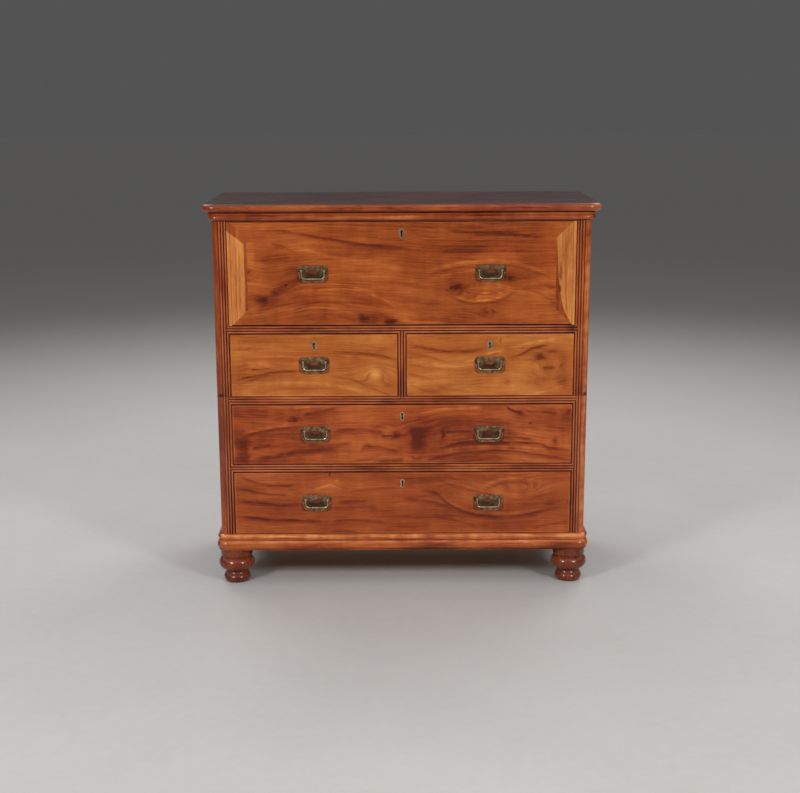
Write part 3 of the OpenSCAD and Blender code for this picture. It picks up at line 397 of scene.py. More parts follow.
        # k counts the reeds from 0 to 3, near is how far the nearest groove is, as a share of a reed
        k = s.math("DIVIDE", s.math("SUBTRACT", c, start), REED)
        near = s.math("ABSOLUTE", s.math("SUBTRACT", k, s.math("ROUND", k)))
        inside = s.math("LESS_THAN", s.math("ABSOLUTE", s.math("SUBTRACT", k, 1.5)), 1.65)
        zone = s.math("MULTIPLY", inside, s.math("LESS_THAN", xyz[1], FRONT + 0.006))
        # the crests of the reeds are lightened as a painted highlight, broken by noise, with some rubbing
        rubbed_and_lit = s.math("MULTIPLY", zone, s.fit(quick, 0.35, 0.65, 0.15, 1.0))
        rubbing_and_highlights.append(s.math("MULTIPLY", s.fit(near, 0.22, 0.42), rubbed_and_lit))
        # painted shade and old polish darken the grooves between the reeds
        g = s.math("MULTIPLY", s.flip(s.fit(near, 0.04, 0.25)), zone)
        dirt_and_shade.append(s.math("MULTIPLY", g, s.fit(slow, 0.3, 0.6, 0.6, 0.95)))
    if outline:
        # painted shadow of the gap round the front, with old polish, darkens its rim
        rim = s.math("ADD", inset(s, xyz, outline), s.swing(quick, 0.002))
        dirt_and_shade.append(s.math("MULTIPLY", s.flip(s.fit(rim, 0.0004, 0.0024)), 0.80))
        # a pale line just inside the rim: wear, and a painted highlight on the arris
        near = s.math("MULTIPLY", s.math("ABSOLUTE", s.math("SUBTRACT", rim, 0.0035)), 700.0)
        near = s.flip(s.math("MINIMUM", 1.0, near))
        rubbing_and_highlights.append(s.math("MULTIPLY", near, s.fit(quick, 0.35, 0.65, 0.1, 0.9)))
    if boards:
        near = s.math("PINGPONG", s.math("SUBTRACT", v, boards[0]), boards[1] / 2)
        near = s.math("ADD", near, s.swing(quick, 0.0012))
        dirt_and_shade.append(s.math("MULTIPLY", s.flip(s.fit(near, 0.0006, 0.0026)), 0.7))
    corner = 0.012                         # the rounding of a halo
    for hx, hz, hw, hh in halos:
        q = s.vec("ABSOLUTE", s.join(s.math("SUBTRACT", xyz[0], hx), s.math("SUBTRACT", xyz[2], hz), 0.0))
        q = s.vec("MAXIMUM", s.vec("SUBTRACT", q, (hw - corner, hh - corner, 0.0)), (0.0, 0.0, 0.0))
        d = s.math("SUBTRACT", s.vec("LENGTH", q), corner)
        d = s.math("ADD", d, s.swing(shimmer, 0.004))
        dirt_and_shade.append(s.math("MULTIPLY", s.flip(s.fit(d, -0.001, 0.0032)), 0.55))
    if rubbing_and_highlights:
        # lightens the rubbed places, and the painted highlights on the reeds' crests and the fronts' arrises
        colour = s.mix(s.math("MULTIPLY", s.fold("MAXIMUM", rubbing_and_highlights), 0.45), colour, srgb(214, 136, 84))
    if dirt_and_shade:
        # darkens with old polish and dust, and with painted shade in the grooves and at the fronts' rims
        colour = s.mix(s.fold("MAXIMUM", dirt_and_shade), colour, srgb(44, 13, 4))
    nick = s.fit(s.noise(s.vec("MULTIPLY", solid, (260.0, 420.0, 420.0)), 1.0, 0.0), 0.87, 0.91)
    colour = s.mix(s.math("MULTIPLY", nick, 0.45), colour, srgb(50, 20, 9))

    rough = s.math("MULTIPLY_ADD", s.math("SUBTRACT", mid, 0.5), 0.25, 0.50 - 0.15 * polish)
    rough = s.math("ADD", rough, s.math("MULTIPLY", s.noise(solid, 13.0), 0.08))
    coat = min(0.14 * polish ** 2, 0.6)
    if heartwood_and_shade is painted_shade_top:
        coat = s.math("MULTIPLY_ADD", where, -0.85 * coat, coat)      # the top face, darkened as painted shade, has less coat
    s.set(Base_Color=colour, Roughness=rough, Specular_IOR_Level=0.24, Coat_Weight=coat, Coat_Roughness=0.07)
    wavy = s.noise(s.vec("MULTIPLY", solid, (9.0, 16.0, 16.0)), 1.0, 1.0)
    height = s.math("ADD", s.math("MULTIPLY", wavy, 0.9), s.math("MULTIPLY", s.math("ADD", fine, mid), 0.06))
    height = s.math("SUBTRACT", height, s.math("MULTIPLY", s.fit(pores, 0.58, 0.72), 0.05))
    s.bump(height, 0.35, 0.0012)
    return s.mat


def brass(name, seed, bright=0.0, rows=()):
    """Dull antique brass: brown patina, darker blotches and rubbed spots, dark tarnish round the rows' handles.

    seed is its place in the noise, and bright lightens it.
    """
    s = Shade(name)
    p = s.vec("ADD", s.place, (seed, seed * 0.3, seed * 0.7))
    cloud = s.noise(p, 95.0, 3.0, 0.6)
    grit = s.noise(p, 620.0, 2.0, 0.6)
    t = s.math("ADD", s.math("MULTIPLY", cloud, 0.75), s.math("MULTIPLY", grit, 0.35))
    t = s.math("ADD", t, bright)
    colour = s.ramp(t, [(0.36, srgb(62, 44, 29)), (0.52, srgb(120, 88, 60)), (0.64, srgb(158, 122, 88)),
                        (0.82, srgb(212, 178, 138))])
    verdigris = s.fit(s.noise(p, 210.0), 0.60, 0.72, 0.0, 0.25)
    colour = s.mix(verdigris, colour, srgb(96, 88, 58))
    if rows:
        # (x, z) from the middle of the nearest handle, shaken by the patina
        xyz = s.split(s.place)
        x = s.math("SUBTRACT", s.math("ABSOLUTE", xyz[0]), HANDLE_X)
        z, *others = [s.math("SUBTRACT", xyz[2], row) for row in rows]
        for d in others:
            close = s.math("LESS_THAN", s.math("ABSOLUTE", d), 0.05)
            z = s.math("ADD", z, s.math("MULTIPLY", close, s.math("SUBTRACT", d, z)))
        shake = s.join(s.math("SUBTRACT", cloud, 0.5), s.math("SUBTRACT", grit, 0.5), 0.0)
        q = s.vec("ADD", s.join(x, z, 0.0), s.vec("MULTIPLY", shake, (0.012, 0.006, 0.0)))
        middle = spot(s, q, 0.0, -0.003, 0.030, 0.0125, square=True)
        ends = s.fold("MAXIMUM", [spot(s, q, x, 0.010, 0.004, 0.006) for x in (0.0385, -0.0385)])
        colour = s.mix(s.math("MULTIPLY", s.math("MAXIMUM", middle, ends), 0.78), colour, srgb(44, 33, 26))
    s.set(Base_Color=colour, Roughness=s.fit(t, 0.35, 0.8, 0.56, 0.30, smooth=False), Metallic=0.88)
    s.bump(s.math("ADD", cloud, s.math("MULTIPLY", grit, 0.35)), 0.25, 0.0006)
    return s.mat


def leather():
    """Green leather with a double gilt line inside its edge."""
    s = Shade("leather_green")
    cells = s.node("ShaderNodeTexVoronoi", feature="DISTANCE_TO_EDGE")
    s.put(cells.inputs["Vector"], s.place)
    s.put(cells.inputs["Scale"], 900.0)
    crease = s.fit(cells.outputs["Distance"], 0.0, 0.25)
    cloud = s.noise(s.place, 14.0, 4.0, 0.6)
    colour = s.ramp(cloud, [(0.3, srgb(30, 44, 30)), (0.55, srgb(44, 62, 40)), (0.75, srgb(70, 82, 52))])
    rim = inset(s, s.split(s.place), outline_of("writing_leather"))
    gilt = s.fold("MAXIMUM", [s.math("COMPARE", rim, 0.012, 0.0009), s.math("COMPARE", rim, 0.0155, 0.0004)])
    gilt = s.math("MULTIPLY", gilt, s.fit(s.noise(s.place, 300.0), 0.35, 0.5))
    colour = s.mix(gilt, colour, srgb(176, 142, 74))
    s.set(Base_Color=colour, Roughness=s.fit(cloud, 0.3, 0.7, 0.62, 0.45, smooth=False))
    s.bump(crease, 0.3, 0.0004)
    return s.mat


# The figure of each front, drawn over the photograph in its pixels: line D (dark) or P (pale) with
# half-width, strength and points, patch d, p or b (a dark block) with middle, half-widths and strength, knot k,
# and hill h, which bends the grain by its height in mm.
FIGURES = {
    "fall_panel": """
        D 1.1 .34 256,232.3 274,230.3 295,232.9 317,237.1 341,240.8 365,244.4 390,246.8 412,248
        D .8 .2 270,243 281,245.6 288,249.2 298,254
        P 1.2 .14 285,243.2 305,249.2 329,255.3 353,260.2 380,263
        P .8 .30 288,292.9 305,290.5 327,289.2 341,288.6 359,290.5 378,296.5 390,302.6 399,309.8
        P .7 .20 292,285.6 317,284.4 341,284.4 365,290 384,297
        D .7 .16 287,299 310,296.5 335,295.5 356,298 375,305 390,313
        D .7 .15 262,311 290,304 320,302 350,306 372,312
        P .7 .12 250,318 280,310 315,307 345,311 362,317
        D 3.0 .34 258,305 266,299 275,293 286,286 300,277
        d 297,279 6 4 .26
        d 270,300 7 3 .3
        k 286,285.8 2.6 .8
        d 275.2,292.9 5.5 4.2 .50
        d 263.6,300.2 7.5 4.6 .56
        d 283,285 15 9 .26
        d 292,272 9 6 .18
        k 248.5,272.3 1.6 .7
        k 247.5,280 1.2 .5
        p 253,258 8 8 .38
        p 247,312 7 8 .22
        p 330,297 20 10 .08
        d 368,318.5 15 5.0 .72
        d 377,314 7 4 .40
        d 391,321.5 7 3.0 .72
        d 350,317 14 2.4 .28
        D 1.4 .3 352,313 366,313.5 380,316 396,320
        p 404,316 8 5 .25
        D 1.1 .30 445,229.8 461,231.1 485,232.9 503,233.5 516,234.7 546,236.5
        d 505,233.5 14 1.6 .3
        D 1.6 .26 430,252 461,250.5 485,251 509,250.5 552,251.7
        D .9 .16 425,247 470,246.3 520,246.8 556,248
        D .8 .12 420,240 470,240.5 530,242 556,244
        P .8 .20 424,271 448,265 467,261.4 490,259.8 509,261.4 533,267.4 552,273.5
        D .8 .22 426,275.5 448,269.5 467,266 490,264.5 509,265.5 534,271.5 554,279
        P .7 .15 430,279 450,274 468,271 490,269
        k 457,287.4 3.6 1.0
        d 452,287.5 4 2.6 .6
        k 511,278.3 3.0 .95
        d 505,277.5 6 1.6 .5
        d 521,278.5 7 1.6 .35
        k 487.3,312.3 2.6 .9
        p 487,290 27 8 .26
        D .6 .30 461,289 470,292.3 480,294 491,293.6 501,289.7 509,284
        D .6 .26 461,287.5 472,289.8 487,290.6 500,287.5
        P .8 .30 453,293.5 461,297.7 475,300.4 492,298.8 506,293.2 515,284.6
        D .9 .26 450,296 460,300.6 475,303.3 493,301.8 508,296 519,286
        h 484,289 26 9 -26
        h 330,302 55 16 -22
        h 500,312 24 8 8
        h 270,285 18 14 12
        D .7 .16 520,288 532,290 545,296 556,304
        P .7 .14 520,284 534,284 548,289 557,295
        """,
    "short_left_front": """
        d 245,349 16 1.8 .26
        D .8 .18 236,341 270,341.5 306,342
        D .8 .34 332,352 353.5,352.4 373.5,354.5 387.3,357 398,361.4
        P 1.0 .16 334,355.6 354,356 374,358.5 396,365
        p 376,373 15 7 .40
        D .8 .30 328,375.8 338,377 352,379.5 367,385.8 379,390.8 394,396.5
        D .6 .22 352,379 362,382 374,385.8 388,387
        d 388,386 2.5 2 .3
        p 256,364.5 15 4 .30
        D .6 .25 250,370 260,369 270,368
        D .7 .32 233,381 246,377.6 257,375.8 276,372 302,370.8
        D .7 .22 236,385.5 257,378.3 270,375
        P 1.1 .16 233,394.5 251,388.3 276,383.3 301,382 326,383.3 351,388.3 376,395
        D .9 .16 250,394 270,390 289,388.3 326,388.9 358,395
        D 1.2 .22 240,359.5 268,358.9 300,359.5
        D .8 .14 330,345 360,346 396,350
        h 376,373 15 8 -38
        h 252,366 18 6 -14
        h 305,390 60 10 -14
        """,
    "short_right_front": """
        D 1.2 .34 406,344.5 419,346.4 431,348.9 450,351.4 467,351.4 484,348.3
        d 420,346.5 7 1.4 .35
        d 490,341.5 9 6.5 .22
        d 501,339.5 1.0 3.6 .45
        D .7 .34 478,358 487.5,355.8 500,352.2
        P 1.3 .26 468,360.5 492,352.5 507,349 525,343.6 541,340.6 562,337.5
        D .9 .34 505,358.4 520,354.5 532,348.3 550,344
        D .9 .24 406,353.3 425,355.8 444,360.8 454,362 467,360
        D .8 .18 406,363.3 437,368.3 462,369.5 478,368.3
        P .9 .12 406,358.5 430,363 452,366 474,365
        D .9 .24 406,373.3 422,376.4 434,379.4
        D .9 .20 436,385.5 454,389.5 472,391.4
        D .8 .16 408,384 430,391 446,395
        d 506.3,382 3.4 3.6 .36
        d 541,357 6 4 .40
        d 549,368 6 1.5 .50
        d 537,381 12 5 .40
        d 562,381 7 7 .38
        d 563,366 3 9 .32
        d 552,351 8 2 .3
        p 532,366 7 5 .15
        P .9 .2 518,396 541,392 566,384
        h 549,373 13 9 44
        h 440,350 40 8 8
        h 520,350 30 10 -12
        """,
    "long_upper_front": """
        d 294.5,420.3 3.4 2.4 .85
        d 289,421.5 3 1 .5
        D 1.0 .3 303,414.8 323,410.5 337,408
        p 312,407.5 20 2 .30
        D .9 .36 244,436.3 265,431 284,428 304,427.4
        P .9 .18 238,434.3 265,428.2 290,424.4
        b 242,451 7.5 14 .50
        D 1.1 .36 252,448.5 261,446.8 272,444.8
        D 1.9 .40 252,459.8 272,456.8 298,451.8 322,449.3 342,445
        P 1.2 .14 262,462.5 290,458 320,455.5 350,453
        D 1.3 .26 306,444.5 335,444.3 354,441.3
        D 1.2 .36 333,430.7 359,429.3 375,431 386,432.2
        d 379,426.8 8 3 .34
        d 395.5,435.5 4.4 4.0 .70
        D .7 .45 380,435.8 395,435.6 408,434.8
        d 369.5,446.6 5 2.4 .50
        D 1.4 .36 359,453.4 373,446.8 389,449.3 402,452
        D 1.5 .42 372,460 390,460.6 405,457.6
        D 1.3 .34 346,463 360,460.5 376,457.5
        d 383,411 12 5 .14
        b 418,430.5 10.5 4.2 .42
        b 418,441 8.0 12 .50
        D .8 .36 411,454 416,458.5 422,456.5
        d 443,434.3 1.6 4.2 .62
        D 1.0 .40 440,449.3 456,443.6 465,441.8 478,441.8 500,442.4 525,442.4 540,444.3 553,448 572,449.4
        D .9 .36 424,461 447,455.5 465,452.4 481,451.8 495,450.5 512,451.1 531,453.6 550,456 570,459.5
        P 1.3 .20 436,454 456,448.2 478,446.4 505,446.6 530,448.2 552,452.5
        D 1.5 .20 455,462 475,459.3 495,458 518,460.5 540,464
        D .9 .36 444,432 459,431.1 474,431.8
        D .8 .30 502,436.6 519,437.4 534,439.6
        d 555,441 3 4 .42
        k 520.6,413 2.4 .9
        D .9 .5 506,406.3 512.5,409.9 521,412.6
        D .8 .30 523,411 544,411.8 558,412.5
        d 530,423 1.4 1.2 .4
        d 569,411 3 3 .42
        P .8 .16 410,421 430,411 460,407.5 490,409
        D .7 .14 412,424 432,414.5 460,411 492,412.5
        D .7 .14 420,426 440,418.5 462,415.5 495,416.5
        h 395,432 14 10 18
        h 455,425 30 12 -22
        h 520,430 40 10 -14
        h 270,455 30 10 10
        """,
    "long_lower_front": """
        D .9 .30 238,475.6 250,480.4 262,484 277,485.4 297,484.8
        D .8 .34 238,488.6 251,491 265,493.5 280,494.8 290,495.4
        d 283,494.8 1.8 1.4 .4
        D .9 .40 238,501.3 255,502.3 267,503.5 284,504.8 304,503.5
        D 1.2 .46 240,516.4 257,517.9 274,519.8 292,519.8 307,521 329,521.6
        d 312,520.5 16 2 .28
        D 1.0 .26 330,521 355,519.8 374,521 388,522.9
        D 1.2 .44 328,534 342,531.6 361,533.5 406,534.8
        D 1.2 .34 338,501.6 352,501.2 368,500.2
        D .8 .20 378,516.8 392,516.2 405,516 421,517.3 438,516.6 449,518.5 462,522.3 476,525
        D .8 .24 430,516.8 449,518.5 462,522.3 477,525.2
        P 1.0 .26 303,493 317,488.5 332,483.5 342,474
        p 330,484 14 7 .18
        d 330,473.5 1.2 2.4 .5
        D .8 .24 348,492.8 361,489.8 380,488.5 398,487.3
        d 373,508 3 4 .2
        D 1.2 .38 418,489.6 434,492.3 444,499.8 457,508.5 472,513.5 489,516 508,516.6 527,514 546,509.8 567,506.6
        D 1.4 .28 402,498.5 427,501 443,504.8 458,510.5
        P 1.1 .16 440,496 456,504.5 472,509.8 490,512.2 510,512.4 532,509
        P .9 .24 480,489 488,483.5 500,479.5 514,477.8 530,479 545,483
        D .7 .22 484,491 493,486 506,482.6 520,482 534,484.5
        D .7 .20 486,494 500,497.6 520,499.2 540,496 550,489
        D .7 .16 436,478 447,483 460,488 474,491
        D .7 .14 446,475 458,480 474,484
        d 549,503.5 4 1.1 .38
        d 569.5,502.3 2 2 .5
        D .8 .20 531,527.6 552,523.5 571,520.8
        p 521,490 26 8 .14
        h 521,490 24 9 46
        h 452,487 16 9 -22
        h 490,515 60 9 10
        h 330,482 14 9 -16
        """,
}

MARKS = {"D": "darkline", "P": "paleline", "d": "dark", "p": "pale", "b": "block", "k": "knot", "h": "hill"}


def figure(node):
    """The marks for wood() that FIGURES draws on a front."""
    marks = []
    for line in FIGURES[node].strip().splitlines():
        letter, *words = line.split()
        points = [at(*map(float, q.split(","))) for q in words if "," in q]
        n = [float(q) for q in words if "," not in q]
        size = [q * PIXEL * MM for q in n]
        if letter in "DP":
            marks.append((MARKS[letter], points, size[0], n[1]))
        elif letter == "k":
            marks.append((MARKS[letter], *points[0], size[0], n[1]))
        else:
            marks.append((MARKS[letter], *points[0], *size[:2], n[2] * MM if letter == "h" else n[2]))
    return marks


def clamp_marks():
    """The light clamps, whose grain runs upwards, so that their marks are given as (z, x)."""
    lines = (((236.6, 318), (236.4, 300), (236.3, 280), (236, 260), (235.5, 240)),
             ((240.6, 312), (240.2, 295), (239.8, 270), (239.3, 250)),
             ((568, 318), (566.5, 300), (566, 280), (566.5, 260), (567, 235)))
    patches = ((561.3, 272, 0.021, 0.0035, 1.0), (563, 255, 0.02, 0.006, 0.35), (560.3, 289, 0.009, 0.004, 0.8),
               (232, 262, 0.03, 0.006, 0.16), (571, 243, 0.03, 0.006, 0.14))
    return [*(("darkline", [at(*q)[::-1] for q in line], 0.0018, 0.30) for line in lines),
            *(("dark", *at(px, py)[::-1], *rest) for px, py, *rest in patches)]


def clamp_heart(s, xyz):
    """Where the clamps turn into the redder heartwood: their inner edge, and a corner of the left one."""
    def side(points, sign):
        edge = curve(s, xyz[2], [at(*q)[::-1] for q in points])
        return s.fit(s.math("MULTIPLY", s.math("SUBTRACT", xyz[0], edge), sign), -0.0012, 0.0012)
    left = side(((245.6, 326), (245.5, 305), (245.0, 280), (243.8, 262), (243.2, 240), (243, 221)), 1.0)
    right = side(((572.5, 326), (569.7, 321), (566.5, 315), (563.6, 308), (561, 296), (559.6, 284), (558.2, 262),
                  (557.2, 237), (557, 221)), -1.0)
    corner = s.fit(s.math("ADD", xyz[2], s.math("MULTIPLY", xyz[0], 0.77)), 0.6510, 0.6535)
    left = s.math("MAXIMUM", left, corner)
    on_left = s.math("LESS_THAN", xyz[0], 0.0)
    return s.math("ADD", s.math("MULTIPLY", left, on_left), s.math("MULTIPLY", right, s.flip(on_left)))


def painted_shade_top(s, xyz):
    """The upper face of the top board, darkened as painted shade."""
    return s.fit(xyz[2], 1.0915, 1.0957)


def front(node, tones, seed, wave, contrast, sides=(-1, 1)):
    """A front's wood, with the figure that is drawn for it. sides says where it has handles."""
    name = "wood_" + node.replace("_front", "").replace("_panel", "")
    return wood(name, "xzy", tones, figure(node), seed, wave, contrast=contrast, outline=outline_of(node),
                halos=[(side * HANDLE_X, HANDLE_Z[node], *PLATE) for side in sides])


def posts(name, seed, z, marks=()):
    """A pair of corner posts, dark beside the reeds on both sides, with a painted highlight on the right outer
    corner.

    z is the height about which these marks are strongest.
    """
    # the pale patch at x 0.515 is a painted highlight on the rounded right outer corner
    marks = (*marks, ("dark", z, -0.493, 0.9, 0.011, 0.24), ("dark", z, 0.493, 0.9, 0.011, 0.16),
             ("dark", z, -0.515, 0.9, 0.008, 0.10), ("pale", z, 0.515, 0.5, 0.009, 0.34))
    return wood(name, "zxy", "frame", marks, seed, 0.5, contrast=0.65, polish=1.6, grooves=[("x", OPEN_X)])


def plinth():
    """The plinth moulding, with painted highlights along its beads, painted shade in the groove between them, a
    dark line near its foot and darker wood towards both ends.
    """
    def line(kind, z, width, strength):
        return kind, [(-1.5, z), (1.5, z)], width, strength
    # the pale lines at 0.1455 and 0.1312 are painted highlights where the beads catch light from above, and the
    # dark line at 0.1345 is painted shade in the groove
    marks = [line("paleline", 0.1455, 0.0050, 0.36), line("darkline", 0.1345, 0.0010, 0.50),
             line("paleline", 0.1312, 0.0018, 0.30), ("dark", -0.49, 0.122, 0.05, 0.010, 0.22),
             ("dark", 0.47, 0.124, 0.06, 0.012, 0.26), line("darkline", 0.1065, 0.003, 0.20)]
    return wood("wood_plinth", "xzy", "plinth", marks, 56.0, 0.4, contrast=0.8, polish=1.8)


def raw(name, axes, seed, wave=0.7, contrast=0.7, **options):
    """Plain wood without polish."""
    return wood(name, axes, "inside", (), seed, wave, contrast=contrast, polish=0.0, **options)


WOODS = {
    "fall_panel": lambda: front("fall_panel", "fall", 3.1, 0.7, 0.62),
    "fall_clamps": lambda: wood("wood_clamps", "zxy", "sap", clamp_marks(), 5.2, 0.5, contrast=0.62, lines=0.7,
                                heartwood_and_shade=clamp_heart),
    "short_left_front": lambda: front("short_left_front", "short", 7.7, 0.6, 0.58, [-1]),
    "short_right_front": lambda: front("short_right_front", "short", 12.3, 0.6, 0.62, [1]),
    "long_upper_front": lambda: front("long_upper_front", "mid", 17.9, 0.8, 0.72),
    "long_lower_front": lambda: front("long_lower_front", "low", 23.4, 0.6, 0.62),
    "lower_posts": lambda: posts("wood_lower_posts", 31.0, 0.35),
    "upper_posts": lambda: posts("wood_upper_posts", 35.0, 0.80, [("dark", CASE_JOINT, 0.523, 0.010, 0.014, 0.9),
                                                                  ("dark", CASE_JOINT, -0.505, 0.006, 0.03, 0.6)]),
    "lower_rails": lambda: wood("wood_lower_rails", "xzy", "frame", (), 38.0, 0.5,
                                grooves=[("z", 0.3355), ("z", 0.533)]),
    "upper_rails": lambda: wood("wood_upper_rails", "xzy", "frame", [("dark", 0.474, 0.745, 0.010, 0.02, 0.6)],
                                41.0, 0.5, grooves=[("z", 0.7355)]),
    "upper_divider": lambda: wood("wood_divider", "zxy", "frame", (), 44.0, 0.5, grooves=[("x", -1.5 * REED)]),
    "top_board": lambda: wood("wood_top", "xyz", "frame", (), 47.0, 0.8, contrast=0.8, polish=1.6, heartwood_and_shade=painted_shade_top,
                              heartwood_and_shade_tones="top"),
    "upper_sides": lambda: wood("wood_upper_sides", "zyx", "low", (), 50.0, 1.0),
    "lower_sides": lambda: wood("wood_lower_sides", "zyx", "low", (), 53.0, 1.0),
    "plinth": plinth,
    "cornice": lambda: wood("wood_cornice", "xzy", "frame", [("pale", 0.0, 1.06, 3.0, 0.03, 0.12)], 59.0, 0.4,
                            contrast=0.8, polish=2.0),
    "feet": lambda: wood("wood_feet", "zxy", "feet", (), 62.0, 0.4, contrast=0.6, polish=1.8, lines=0.4),
    "locating_dowels": lambda: raw("wood_dowels", "zxy", 64.0, 0.3, 1.0),
    "desk_floor": lambda: wood("wood_desk_floor", "xyz", "low", (), 66.0, 0.9, polish=0.6),
    "pigeonholes": lambda: wood("wood_pigeonholes", "xzy", "short", (), 68.0, 0.5, polish=0.4),
    "pen_drawers": lambda: wood("wood_pen_drawers", "xzy", "fall", (), 70.0, 0.7, polish=0.7),
    "inside_x": lambda: raw("wood_inside_x", "xzy", 72.0),
    "inside_y": lambda: raw("wood_inside_y", "yzx", 74.0),
    "inside_flat": lambda: raw("wood_inside_flat", "xyz", 76.0),
    "back": lambda: raw("wood_back", "zxy", 78.0, 0.8, 0.62, boards=(-0.503, 0.2012)),
    "edge": lambda: wood("wood_edge_worn_and_lit", "xzy", "low", (), 80.0, 0.5, worn=0.22),
    "returns": lambda: wood("wood_returns", "yzx", "low", (), 82.0, 0.4),
}


@functools.lru_cache(maxsize=None)
def wood_of(key):
    return WOODS[key]()


# ---------------------------------------------------------------- geometry

SHARP = math.radians(35)     # edges that are eased
CREASE = math.radians(38)    # edges that keep their shading break
AT_SIDE = 1e-4               # how near to the box's sides an edge of the outline lies


def smoothed(obj, bm):
    """Gives the object its mesh, with smooth faces and sharp creases."""
    for f in bm.faces:
        f.smooth = True
    for e in bm.edges:
        e.smooth = not (len(e.link_faces) == 2 and e.calc_face_angle(0.0) > CREASE)
    bm.to_mesh(obj.data)
    bm.free()
    obj.modifiers.new("even_normals", "WEIGHTED_NORMAL").keep_sharp = True


def eased(node, width, mats, outer=False, merge=2e-6):
    """The node's own shape with its arrises eased, as a new piece that stands for the node.

    mats are the materials of its faces and, if there is a second, of the eased arrises. With outer, only the
    edges at the node's outline are eased. Edges that meet an open one stay sharp, and a piece that the bevel
    opens, or whose volume it changes much, keeps the CAD mesh.
    """
    bm = bmesh.new()
    bm.from_mesh(NODES[node].data)
    bmesh.ops.remove_doubles(bm, verts=bm.verts, dist=merge)
    bmesh.ops.dissolve_limit(bm, angle_limit=math.radians(0.5), verts=bm.verts, edges=bm.edges)
    for f in bm.faces:
        f.material_index = 0
    lo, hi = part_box(node)

    def count_open():
        return sum(len(e.link_faces) != 2 for e in bm.edges)

    def on_outline(e):
        mid = (e.verts[0].co + e.verts[1].co) / 2
        return (e.calc_length() > 3.0 * MM
                and sum(min(mid[i] - lo[i], hi[i] - mid[i]) < AT_SIDE for i in range(3)) >= 2)

    volume, open_edges = bm.calc_volume(), count_open()
    torn = {v for e in bm.edges if len(e.link_faces) != 2 for v in e.verts}
    sharp = [e for e in bm.edges if len(e.link_faces) == 2 and e.is_convex and not torn.intersection(e.verts)
             and e.calc_face_angle(0.0) > SHARP and (not outer or on_outline(e))]
    surface = BVHTree.FromBMesh(bm)
    bmesh.ops.bevel(bm, geom=sharp, offset=width, offset_type="OFFSET", segments=2, profile=0.5, affect="EDGES",
                    clamp_overlap=not outer, material=1 if len(mats) > 1 else -1, loop_slide=True)
    # a corner that the bevel threw out goes back to the surface
    for v in bm.verts:
        near, _, _, d = surface.find_nearest(v.co)
        if d > 0.9 * width:
            v.co = near
    if count_open() != open_edges or abs(bm.calc_volume() - volume) > 0.02 * volume:
        bm.free()
        print("eased: kept the CAD mesh of", node)
        dress(node, mats[0])
        return None
    mesh = bpy.data.meshes.new(node + ".made")
    obj = bpy.data.objects.new(node + ".made", mesh)
    bpy.context.scene.collection.objects.link(obj)
    for m in mats:
        mesh.materials.append(m)
    smoothed(obj, bm)
    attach(obj, BODY_OF[node])
    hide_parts(node)
    return obj


def dress(node, mat):
    """The node keeps its own mesh and gets a better material."""
    obj = NODES[node]
    obj.data.materials.clear()
    obj.data.materials.append(mat)


def assign(obj, mat, test):
    """Gives the faces whose middle passes the test another material."""
    if obj is None:
        return
    obj.data.materials.append(mat)
    slot = len(obj.data.materials) - 1
    for p in obj.data.polygons:
        if test(p.center):
            p.material_index = slot


# the fronts' eased arrises: worn, and lightened in spots as a painted highlight
EDGE_WORN_AND_LIT = wood_of("edge")
for n in ("short_left_front", "short_right_front", "long_upper_front", "long_lower_front"):
    eased(n, 0.7 * MM, [wood_of(n), EDGE_WORN_AND_LIT], outer=True)
eased("fall_panel", 0.5 * MM, [wood_of("fall_panel"), EDGE_WORN_AND_LIT], outer=True)
eased("fall_clamps", 0.5 * MM, [wood_of("fall_clamps")], outer=True)
for n, width in (("lower_posts", 0.3), ("upper_posts", 0.3), ("lower_rails", 0.3), ("upper_rails", 0.3),
                 ("upper_divider", 0.3), ("top_board", 0.4), ("feet", 0.5)):
    eased(n, width * MM, [wood_of(n)])
for n in ("plinth", "cornice"):
    made = eased(n, 0.3 * MM, [wood_of(n)], merge=1e-5)
    # the returns' grain runs to the back, from the mitres on
    assign(made, wood_of("returns"), lambda c: abs(c.x) - 0.505 > (FRONT + 0.018) - c.y + 0.0004)
for n in ("upper_sides", "lower_sides", "locating_dowels", "desk_floor"):
    dress(n, wood_of(n))
eased("pigeonholes", 0.4 * MM, [wood_of("pigeonholes")])
for n in ("pen_drawer_left", "pen_drawer_centre", "pen_drawer_right"):
    eased(n, 0.4 * MM, [wood_of("pen_drawers")])
desk_box = eased("desk_box", 0.5 * MM, [wood_of("inside_y")])
for n in ("short_left_box", "short_right_box", "long_upper_box", "long_lower_box"):
    made = eased(n, 0.5 * MM, [wood_of("inside_y")])
    lo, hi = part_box(n)
    # the back board's and the bottom's grain runs across
    assign(made, wood_of("inside_x"), lambda c: c.y > hi.y - 0.014 and lo.x + 0.012 < c.x < hi.x - 0.012)
    assign(made, wood_of("inside_flat"), lambda c: c.z < lo.z + 0.020 and lo.x + 0.012 < c.x < hi.x - 0.012)
for n in ("lower_dust_frames", "upper_dust_frames", "lower_bottom", "upper_bottom"):
    dress(n, wood_of("inside_flat"))
for n in ("lower_back", "upper_back"):
    eased(n, 0.6 * MM, [wood_of("back")])
dress("writing_leather", leather())

BRASS = brass("antique_brass", 1.0)
PLATES = brass("plate_brass", 1.0, 0.03, ROWS)
# brighter brass for the bails, eased edges and escutcheons: rubbing, and painted highlights along the bails and
# edges
RUBBED_AND_LIT = brass("rubbed_and_lit_brass", 2.0, 0.20)
